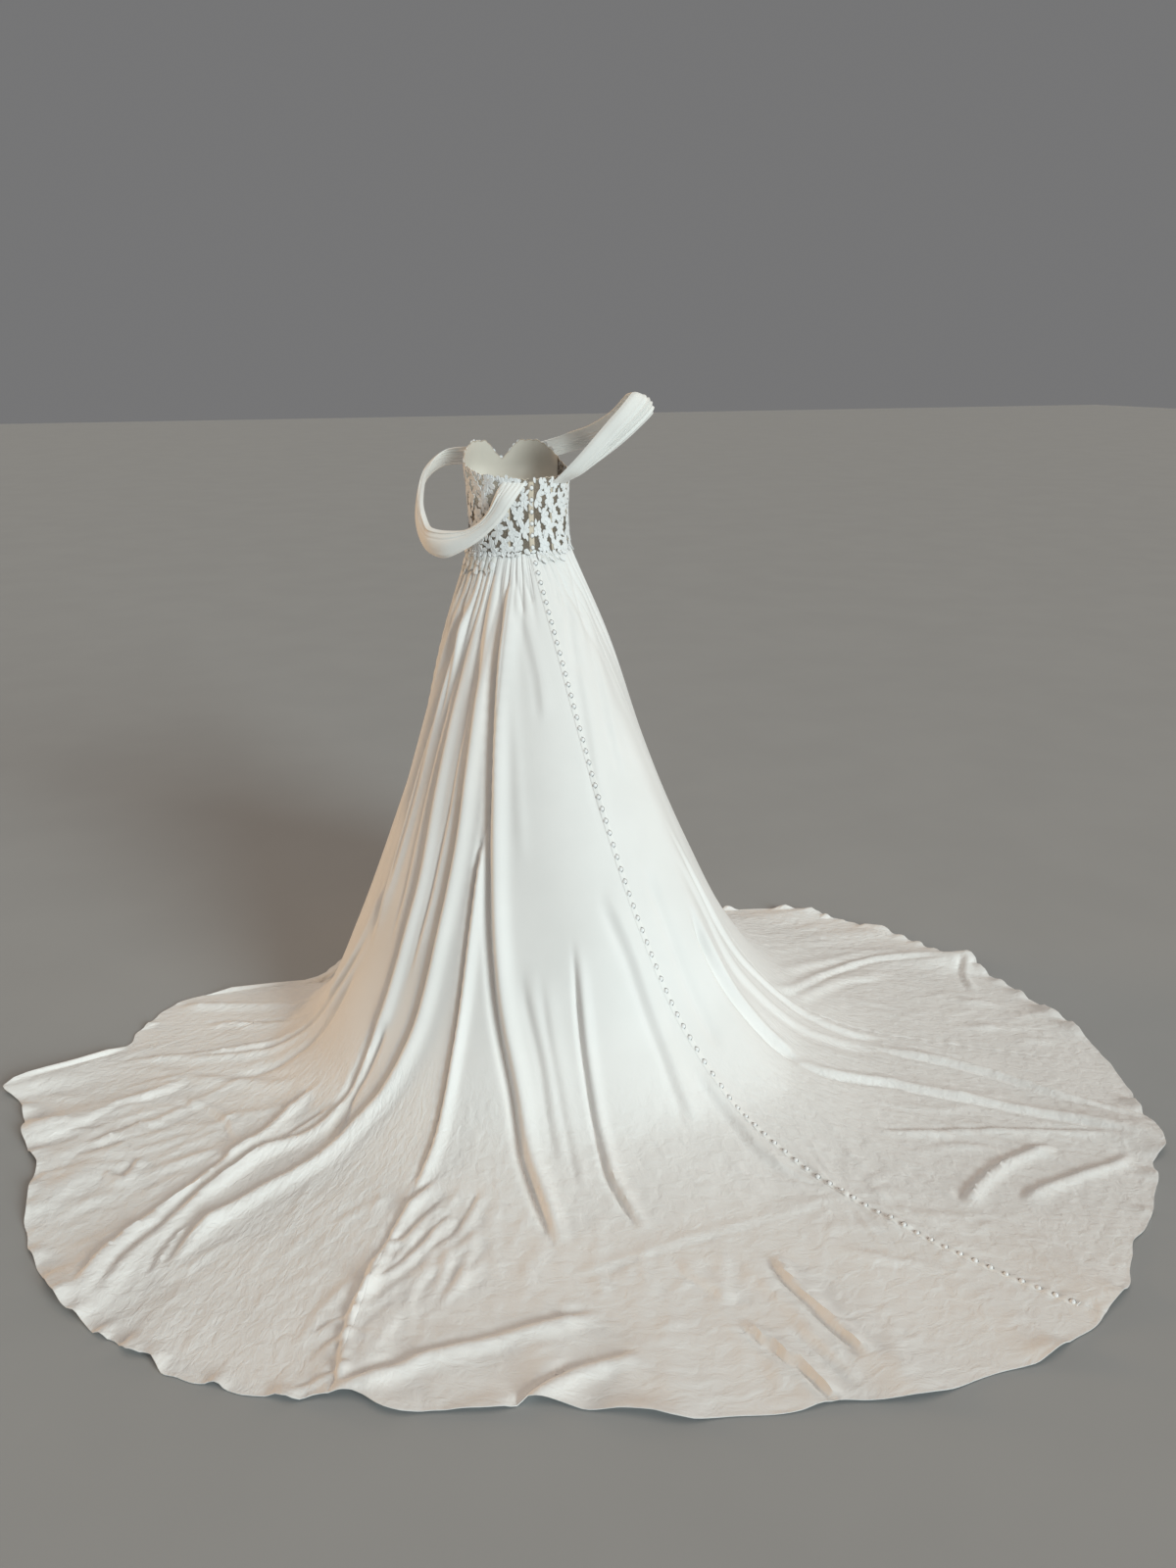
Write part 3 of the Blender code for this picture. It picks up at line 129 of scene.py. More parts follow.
# direction at the waist, depth (m), half width (degrees), length (m)
GATHERS = (
    (9, 0.0030, 2.0, 0.20), (16, 0.0036, 2.0, 0.22), (22, 0.0034, 1.8, 0.18),
    (29, 0.0040, 1.6, 0.30), (36, 0.0034, 2.2, 0.35), (45, 0.0050, 2.0, 0.22),
    (52, 0.0050, 1.8, 0.30), (57, 0.0050, 1.8, 0.20), (63, 0.0040, 2.0, 0.30),
    (70, 0.0050, 2.2, 0.35), (78, 0.0060, 2.4, 0.60), (86, 0.0060, 2.4, 0.70),
    (95, 0.0060, 2.6, 0.80),
    (106, 0.0070, 3.0, 0.80), (120, 0.0080, 3.2, 0.90), (136, 0.0070, 3.2, 0.75),
    (152, 0.0060, 3.4, 0.90), (170, 0.0070, 3.6, 0.80),
    (-9, 0.0020, 2.0, 0.16), (-17, 0.0026, 2.2, 0.20), (-26, 0.0030, 2.4, 0.28),
    (-45, 0.0030, 2.6, 0.28), (-55, 0.0036, 2.6, 0.36), (-66, 0.0040, 2.6, 0.45),
    (-78, 0.0050, 2.8, 0.65), (-90, 0.0060, 2.8, 0.60), (-112, 0.0080, 3.0, 0.85),
    (-127, 0.0070, 3.2, 0.75), (-143, 0.0070, 3.2, 0.90), (-161, 0.0060, 3.4, 0.80),
)
# name, height (m), half width (m), how deep the trough on its steep side is, as a share of the
# height, then the stations (x, y) of its line seen from above, from the waist outwards. A trough
# above 0 puts the steep side towards the wearer's left, one below 0 towards the right, and at 0
# the fold is even. A valley has a height below 0.
FOLDS = (
    ("drape_left_c", 0.010, 0.014, 0.8, (
        (0.128, 0.061), (0.166, 0.084), (0.205, 0.110), (0.249, 0.140), (0.288, 0.167),
        (0.330, 0.197), (0.366, 0.222), (0.403, 0.250), (0.455, 0.285))),
    ("drape_left_d", 0.008, 0.017, 0.7, (
        (0.140, 0.000), (0.165, 0.019), (0.188, 0.040), (0.215, 0.063), (0.245, 0.086),
        (0.280, 0.112), (0.315, 0.138), (0.360, 0.165))),
    ("drape_left_e", 0.008, 0.018, 0.7, (
        (0.402, 0.225), (0.453, 0.217), (0.498, 0.201), (0.551, 0.184))),
    ("pocket", 0.016, 0.015, 1.0, (
        (0.047, 0.091), (0.079, 0.160), (0.116, 0.229), (0.157, 0.319), (0.191, 0.404),
        (0.213, 0.463), (0.235, 0.539), (0.243, 0.600), (0.245, 0.694), (0.254, 0.765),
        (0.263, 0.826), (0.266, 0.919), (0.270, 1.005), (0.276, 1.066))),
    ("pocket_side", 0.009, 0.010, 0.9, (
        (0.080, 0.600), (0.097, 0.700), (0.107, 0.780), (0.117, 0.860), (0.125, 0.920),
        (0.122, 0.980), (0.112, 1.060))),
    ("seam_ridge", 0.010, 0.010, 0.8, (
        (0.199, 0.383), (0.236, 0.436), (0.295, 0.519), (0.357, 0.602), (0.385, 0.646),
        (0.441, 0.734), (0.491, 0.800))),
    ("long_ridge", 0.015, 0.014, 0.9, (
        (0.083, 0.083), (0.121, 0.150), (0.172, 0.234), (0.223, 0.314), (0.267, 0.378),
        (0.348, 0.456), (0.419, 0.508), (0.471, 0.533), (0.547, 0.566), (0.625, 0.615),
        (0.698, 0.655), (0.764, 0.680), (0.831, 0.714), (0.879, 0.740), (0.911, 0.773),
        (0.937, 0.812), (0.967, 0.850), (0.992, 0.886))),
    ("left_valley", -0.018, 0.011, 0.0, (
        (0.460, 0.430), (0.520, 0.470), (0.560, 0.500), (0.590, 0.540), (0.625, 0.595))),
    ("left_ridge", 0.012, 0.013, 0.9, (
        (0.103, 0.085), (0.148, 0.124), (0.211, 0.188), (0.282, 0.267), (0.347, 0.344),
        (0.396, 0.378), (0.454, 0.414), (0.509, 0.452), (0.554, 0.488), (0.601, 0.524),
        (0.661, 0.548), (0.750, 0.562), (0.800, 0.592), (0.870, 0.647), (0.930, 0.686),
        (1.000, 0.725))),
    ("low_ridge", 0.013, 0.012, 0.8, (
        (0.600, 0.400), (0.680, 0.445), (0.740, 0.500), (0.820, 0.560), (0.900, 0.625),
        (1.000, 0.705), (1.060, 0.765), (1.110, 0.850))),
    ("fan_valley", -0.008, 0.012, 0.0, (
        (0.480, 0.260), (0.600, 0.256), (0.700, 0.265), (0.830, 0.270))),
    ("fan_low", 0.004, 0.009, -0.6, (
        (0.880, 0.235), (0.920, 0.262), (0.970, 0.270), (1.020, 0.272), (1.060, 0.295),
        (1.120, 0.330), (1.200, 0.360))),
    ("fan_middle", 0.008, 0.009, 0.6, (
        (0.420, 0.235), (0.500, 0.210), (0.570, 0.180), (0.700, 0.155), (0.850, 0.138),
        (1.020, 0.100))),
    ("fan_high", 0.011, 0.013, 0.5, (
        (0.540, 0.050), (0.595, 0.020), (0.640, -0.010), (0.750, -0.060), (0.890, -0.115))),
    ("right_valley", -0.014, 0.010, 0.0, (
        (-0.190, 0.560), (-0.230, 0.620), (-0.280, 0.655), (-0.340, 0.690), (-0.410, 0.730))),
    ("right_ridge", 0.010, 0.011, 0.6, (
        (-0.380, 0.710), (-0.460, 0.765), (-0.520, 0.790), (-0.580, 0.815), (-0.640, 0.865),
        (-0.720, 0.930), (-0.800, 1.000), (-0.880, 1.070), (-0.970, 1.170))),
    ("right_low", 0.008, 0.010, 0.6, (
        (-0.620, 0.670), (-0.700, 0.740), (-0.780, 0.815), (-0.850, 0.900), (-0.910, 0.990),
        (-0.990, 1.080), (-1.040, 1.150))),
    ("right_strip", 0.006, 0.008, -0.9, (
        (-0.440, 0.950), (-0.550, 0.994), (-0.650, 1.024), (-0.750, 1.059), (-0.840, 1.099),
        (-0.920, 1.142))),
    ("curl_inner", 0.011, 0.012, -0.9, (
        (-0.480, 1.210), (-0.555, 1.165), (-0.625, 1.138), (-0.700, 1.124), (-0.780, 1.118))),
    ("curl_outer", 0.010, 0.012, -0.9, (
        (-0.590, 1.238), (-0.680, 1.219), (-0.770, 1.214), (-0.850, 1.212), (-0.910, 1.196))),
    ("right_curve", 0.008, 0.011, 0.6, (
        (-0.440, 0.500), (-0.500, 0.475), (-0.600, 0.410), (-0.700, 0.350), (-0.780, 0.325),
        (-0.880, 0.310), (-0.970, 0.335), (-1.090, 0.385))),
    ("right_drape", 0.006, 0.013, 0.5, (
        (-0.180, 0.440), (-0.300, 0.485), (-0.400, 0.490), (-0.470, 0.510), (-0.540, 0.565),
        (-0.600, 0.620), (-0.690, 0.660))),
    ("hem_ridge_a", 0.013, 0.010, 1.0, (
        (-0.075, 1.190), (-0.072, 1.250), (-0.082, 1.320), (-0.097, 1.400), (-0.108, 1.460))),
    ("hem_ridge_b", 0.012, 0.009, 1.0, (
        (0.055, 1.310), (0.015, 1.400), (-0.004, 1.450), (-0.014, 1.510))),
    ("left_sweep", 0.011, 0.013, 0.9, (
        (0.260, 1.208), (0.450, 1.200), (0.550, 1.195), (0.620, 1.200), (0.730, 1.218))),
    ("left_sweep_low", 0.011, 0.012, 0.9, (
        (0.240, 1.316), (0.340, 1.310), (0.380, 1.320), (0.430, 1.336), (0.470, 1.360))),
    ("seam_low", 0.009, 0.010, 0.8, (
        (0.440, 0.790), (0.505, 0.832), (0.540, 0.872), (0.565, 0.910), (0.595, 0.950),
        (0.620, 0.990), (0.650, 1.030), (0.690, 1.070))),
)
# direction, half width (degrees), how far the hem runs out (m), how far it stands up (m)
HEM_WAVES = (
    (84, 1.8, 0.030, 0.020), (79, 1.6, -0.002, 0.004), (75, 2.0, 0.008, 0.020),
    (70, 1.8, -0.012, 0.012), (65, 2.4, 0.002, 0.014), (53, 2.6, 0.012, 0.024),
    (45, 2.2, -0.006, 0.004), (30, 2.2, -0.022, 0.016), (24, 2.0, 0.004, 0.006),
    (17, 2.0, -0.012, 0.012), (9, 2.2, 0.012, 0.010), (0, 2.2, -0.018, 0.008),
    (-5, 2.2, 0.010, 0.016), (-14, 2.2, 0.010, 0.008), (-21, 2.2, 0.006, 0.016),
    (-27, 2.0, -0.014, 0.006), (-40, 2.2, 0.026, 0.026), (-56, 2.6, 0.000, 0.008),
    (-70, 1.8, 0.024, 0.030), (-80, 2.0, 0.010, 0.008), (-91, 2.6, 0.012, 0.010),
)
HEM_WAVE_LENGTH = 0.16         # how far a wave of the hem runs back into the cloth
FOLD_START = 0.12              # below the waist, where the folds have their full height
FOLD_END = 0.16                # share of a fold's line over which it rises and dies away
STEEP_SIDE = 0.65              # width of a fold's steep side, and of its other side, in its half
SOFT_SIDE = 1.30               # widths
TROUGH_SET = 1.30              # from the crest to the trough, in half widths
TROUGH_HALF = 0.60             # width of the trough, in half widths
GATHER_AT_SEAM = 0.55          # share of its depth that a gather has at the waist seam
GATHER_OPENS = 0.10            # below the seam, where it has all of it
GATHER_GROWTH = 1.6            # how much deeper the cloth then hangs, as a share
GATHER_GROWN = 0.50            # below the seam, where it hangs that deep
GATHER_OVERRUN = 1.15          # how far a gather's end runs out, in its lengths

# ---------------------------------------------------------------- the placket and its buttons
PLACKET_HALF = 0.0070
PLACKET = 0.0010               # thickness
BUTTON_PITCH = 0.0268
BUTTON_RADIUS = 0.0046
BUTTON_HEIGHT = 0.0042
PLACKET_TOP = 0.013            # below the waist seam
PLACKET_END = 0.985            # share of the length where it stops, short of the hem

# ---------------------------------------------------------------- the bodice's tables
# height, half width at the side, depth at the back, depth at the front
BODICE = (
    (0.000, 0.1225, 0.098, 0.096),
    (0.050, 0.1170, 0.094, 0.095),
    (0.090, 0.1160, 0.093, 0.098),
    (0.140, 0.1180, 0.095, 0.108),
    (0.180, 0.1210, 0.097, 0.114),
    (0.230, 0.1220, 0.099, 0.114),
    (0.280, 0.1200, 0.100, 0.108),
)
# direction, height of the top edge
NECKLINE = (
    (-170, 0.214), (-158, 0.236), (-142, 0.236), (-122, 0.214), (-105, 0.190), (-85, 0.174),
    (-60, 0.166), (-30, 0.167), (0, 0.164), (30, 0.169), (60, 0.173), (85, 0.186), (105, 0.200),
    (122, 0.217), (142, 0.236), (158, 0.236), (170, 0.214), (180, 0.194),
)
CUP = {"direction": 150, "height": 0.165, "half_width": 25, "half_height": 0.055, "depth": 0.026}
BODICE_BASE = 0.0004           # its lower edge, over the skirt's waist edge
LACE_SCALE = math.radians(1.0) * 0.115   # length along the lace for one degree
LACE_GIRTH = 360 * LACE_SCALE
# node, direction from, direction to
BODICE_PIECES = (
    ("bodice_back_left", 3.5, 92),
    ("bodice_front", 92, 268),
    ("bodice_back_right", -92, -3.5),
)
CUPS_FROM = 112                # direction either way from which the lace is lined
OPEN_BELOW = 0.095             # height below which it is open there too
FLOWER_COLUMNS = 20            # flowers of a row, all round
FLOWER_ROWS = 7
FLOWER_RISE = 0.034            # between rows
FIRST_FLOWER = 0.018           # height of the lowest row
FLOWER_WANDER = 0.003          # how far flowers leave their places in the rows
FLOWER_RADIUS = 0.0165
FLOWER_PETALS = 5
GAP_WIDTH = 0.0210             # the largest gaps, between two flowers
GAP_HEIGHT = 0.0270
SCALLOP = 0.0030               # of the top edge
BODICE_PLACKET_TOP = 0.004     # below the top edge
# The lace that runs down over the gathers: node, direction from, direction to, depth (m).
WAIST_LACE = (("waist_lace_left", 46, 96, 0.056), ("waist_lace_right", -34, -5, 0.030))
WAIST_LACE_TOP = 0.0015        # below the waist seam
WAIST_LACE_LIFT = 0.0009       # it bridges the gathers a little
WAIST_LACE_SCALLOP = 0.25      # how much its depth comes and goes, as a share

# ---------------------------------------------------------------- the swags' tables
# Each swag is a folded band, sewn to the bodice at the back and at the front. An end is the
# (direction, height) of its upper and of its lower corner on the bodice; between the ends come
# stations with the band's upper edge (x, y, z) and its lower edge (x, y, z).
SWAGS = {
    "swag_left": {
        "back": ((37, 0.160), (8, 0.156)),
        "stations": (
            ((0.081, 0.085, 0.133), (0.047, 0.111, 0.122)),
            ((0.098, 0.078, 0.096), (0.075, 0.102, 0.083)),
            ((0.122, 0.063, 0.067), (0.106, 0.084, 0.048)),
            ((0.152, 0.040, 0.051), (0.151, 0.058, 0.013)),
            ((0.185, 0.010, 0.049), (0.193, 0.022, -0.009)),
            ((0.208, -0.026, 0.054), (0.216, -0.028, 0.000)),
            ((0.209, -0.080, 0.088), (0.220, -0.084, 0.031)),
            ((0.194, -0.128, 0.139), (0.206, -0.132, 0.093)),
            ((0.170, -0.155, 0.185), (0.180, -0.162, 0.150)),
            ((0.128, -0.160, 0.215), (0.132, -0.166, 0.180)),
        ),
        "front": ((144, 0.226), (142, 0.186)),
        "outward": 1,
    },
    "swag_right": {
        "back": ((-31, 0.157), (-56, 0.153)),
        "stations": (
            ((-0.090, 0.118, 0.196), (-0.124, 0.100, 0.177)),
            ((-0.139, 0.132, 0.252), (-0.172, 0.122, 0.213)),
            ((-0.190, 0.134, 0.305), (-0.224, 0.132, 0.254)),
            ((-0.241, 0.110, 0.349), (-0.293, 0.108, 0.306)),
            ((-0.248, 0.062, 0.345), (-0.294, 0.054, 0.300)),
            ((-0.226, 0.010, 0.302), (-0.252, 0.002, 0.252)),
            ((-0.192, -0.052, 0.268), (-0.208, -0.062, 0.222)),
            ((-0.150, -0.108, 0.246), (-0.158, -0.120, 0.204)),
        ),
        "front": ((-144, 0.226), (-142, 0.186)),
        "outward": -1,
    },
}
SWAG_BULGE = 0.16              # how far its middle stands out, as a share of its width
SWAG_SEATED = 0.10             # share of its length over which an end comes to lie on the lace
SWAG_OPENS = 0.12              # share over which its folds open

FLAT_DEGREE = 0.0245           # surface coordinate of one degree, its length near the hem
PROBE_TURN = 0.8               # degrees, and share of the length, between which slopes are read
PROBE_SHARE = 0.010
PROBE_LENGTH = 0.002           # metres

PLACKET_COLUMNS = 9
PLACKET_STEP = 0.0045
STRIP_LIFT = 0.0004            # of the bodice's strip, over the bodice's inner side
PLACKET_RIPPLE = 0.00025       # of its edges, between stitches
DOME = ((0.80, 0.0), (1.0, 0.14), (1.04, 0.30), (0.98, 0.50), (0.82, 0.72), (0.55, 0.90),
        (0.26, 0.985))         # radius and height of a button's rings, as shares
DOME_SIDES = 14
BUTTON_GATHER = 0.02           # how uneven its rim is, as a share
BUTTON_GATHERS = 5
LOOP_STEPS = 9
LOOP_RADIUS = 0.0008
LOOP_LIFT = 0.0010
LOOP_TURN = 1.05               # of half a round
LOOP_REACH = 1.12              # from the button's middle, in its radii
LOOP_SPREAD = 0.25             # how much further its ends are
CORD_SIDES = 6

NET_OUT = 0.0007               # the net's inner side, over the bodice's inner side
NET_THICK = 0.0002
NET_CELL = 1.5                 # degrees
NET_ROWS = 40
LINING_COLUMNS, LINING_ROWS = 90, 30
LINING_DOWN = 0.002            # below the top edge
LINING_BELOW = 0.004           # below OPEN_BELOW
LINING_UNDER = 0.0002          # from the net to its outer side
LINING_IN = 0.0001             # its inner side, over the bodice's inner side
MOTIF_ALONG = (0.0, 0.12, 0.32, 0.54, 0.76, 0.92, 1.0)
MOTIF_ACROSS = (-1.0, -0.84, -0.45, 0.0, 0.45, 0.84, 1.0)
MOTIF_END = 0.14               # width of its ends, as a share
MOTIF_THICK = 0.0005
MOTIF_CORD = 0.0005            # height of the cord along its edge
CORD_PLACE = 0.84              # from its middle line, as a share of its half width
CORD_HALF = 0.16
MOTIF_VEIN = -0.0004
VEIN_HALF = 0.14
MOTIF_DOME = 0.0006
MOTIF_CURL = 0.0007
LAYER = 0.00045                # between motifs that overlap
ROUND_PETAL = (0.64, 0.66, 0.0)
PETAL_REACH = 1.14             # length of a petal, in its flower's radii
PETAL_WIDTH = 0.0134
LEAVES_PER_FLOWER = 6
LEAF_ROOT = 0.0100             # from the flower's middle
LEAF_LENGTH = 0.0185
LEAF_WIDTH = 0.0088
PETAL_FIT = (0.45, 0.030)      # share of its width at no length, and the length that adds a whole
LEAF_FIT = (0.4, 0.024)
SHORTEST_MOTIF = 0.0060
FIT_STEPS = 12                 # steps in which a motif's length is tried
TIP_OVER = 0.0030              # how far a tip may stand over the top edge
GAP_NARROWS = ((0, 50, 80, 180), (0.56, 0.52, 0.42, 0.42))   # at directions, how open gaps stay
PLACKET_KEEP = 0.0070          # motifs keep this far from the centre back
EDGE_MOTIF_PITCH = 0.0105
EDGE_PETAL_LENGTHS = (0.010, 0.015)
EDGE_PETAL_DOWN = 0.0105       # below the top edge
EDGE_LEAF_HEIGHT = 0.0068      # above the waist seam
EDGE_LEAF = (0.45, 1.0, 0.0)
EDGE_WIDTH = 0.0085
SMALL_LEAF_LENGTHS = (0.012, 0.017)
SEAM_MOTIF_PITCH = 0.0078
SEAM_MOTIF_TOP = 0.0055        # above the waist seam
SEAM_MOTIF_WIDTH = 0.0088
SEAM_LEAF = (0.5, 0.8, 0.0)
SPRIG_STEP = 0.013             # between leaves of a sprig of the waist lace
SPRIG_LEAF_LENGTHS = (0.014, 0.019)
SPRIG_LEAF_WIDTH = 0.0095
SPRIG_PITCHES = (0.018, 0.024)
WAIST_NET_DEPTH = 0.92         # of the depth of the lace, as a share
WAIST_NET_ROWS = 22
WAIST_NET_CELL = 0.8           # degrees
WAIST_SCALLOPS = 14            # in half a round
LACE_SEED = 5
KNOB_RADIUS = 0.0011
KNOB_DOTS = 5
KNOB_SIDES = 6
KNOB_RINGS = ((1.0, 0.0), (0.9, 0.6), (0.5, 1.0))   # radius and height of its rings, as shares
KNOB_LIFT = 0.0012
DOTS_REACH = 2.0               # of the ring of dots round a knob, in its radii
DOT_SIZE = 0.55
BONES = (31, 66, 104, 138, 180, -31, -66, -104, -138)
BONE_HALF = 0.0032
BONE_THICK = 0.0005
BONE_SHORT = 0.003             # from the edges of the bodice
BONE_ROWS = 40
BINDING_RADIUS = 0.0008
BINDING_STEPS = 420

SWAG_ACROSS = 32
SWAG_ALONG = 130
SWAG_ROLL = 0.0040             # how far the edges turn in
SWAG_ROLL_HALF = 0.05          # and over what share of the width
SWAG_SMOOTHING = 4
SWAG_TUCK = 0.0016             # of the tucks at the sewn ends
SWAG_TUCKS = 2.5
SWAG_CHART = (0.06, 0.9)       # width and length of its surface coordinates
PLEAT_WAVE = 0.35              # how much a pleat's depth comes and goes
PLEAT_WAVES = 9.0
PLEAT_TROUGH = 0.6             # depth of the trough beside it, as a share
PLEAT_OFFSET = 1.8             # of that trough, in half widths
# place across the band at the back end, the middle and the front end, depth and half width
PLEATS = {
    "swag_left": ((0.07, 0.09, 0.14, 0.0026, 0.034), (0.20, 0.17, 0.30, 0.0024, 0.040),
                  (0.34, 0.27, 0.46, 0.0012, 0.045), (0.90, 0.93, 0.88, 0.0010, 0.050)),
    "swag_right": ((0.44, 0.40, 0.44, 0.0016, 0.050), (0.60, 0.57, 0.58, 0.0030, 0.042),
                   (0.74, 0.72, 0.74, 0.0032, 0.038), (0.88, 0.87, 0.88, 0.0028, 0.034)),
}

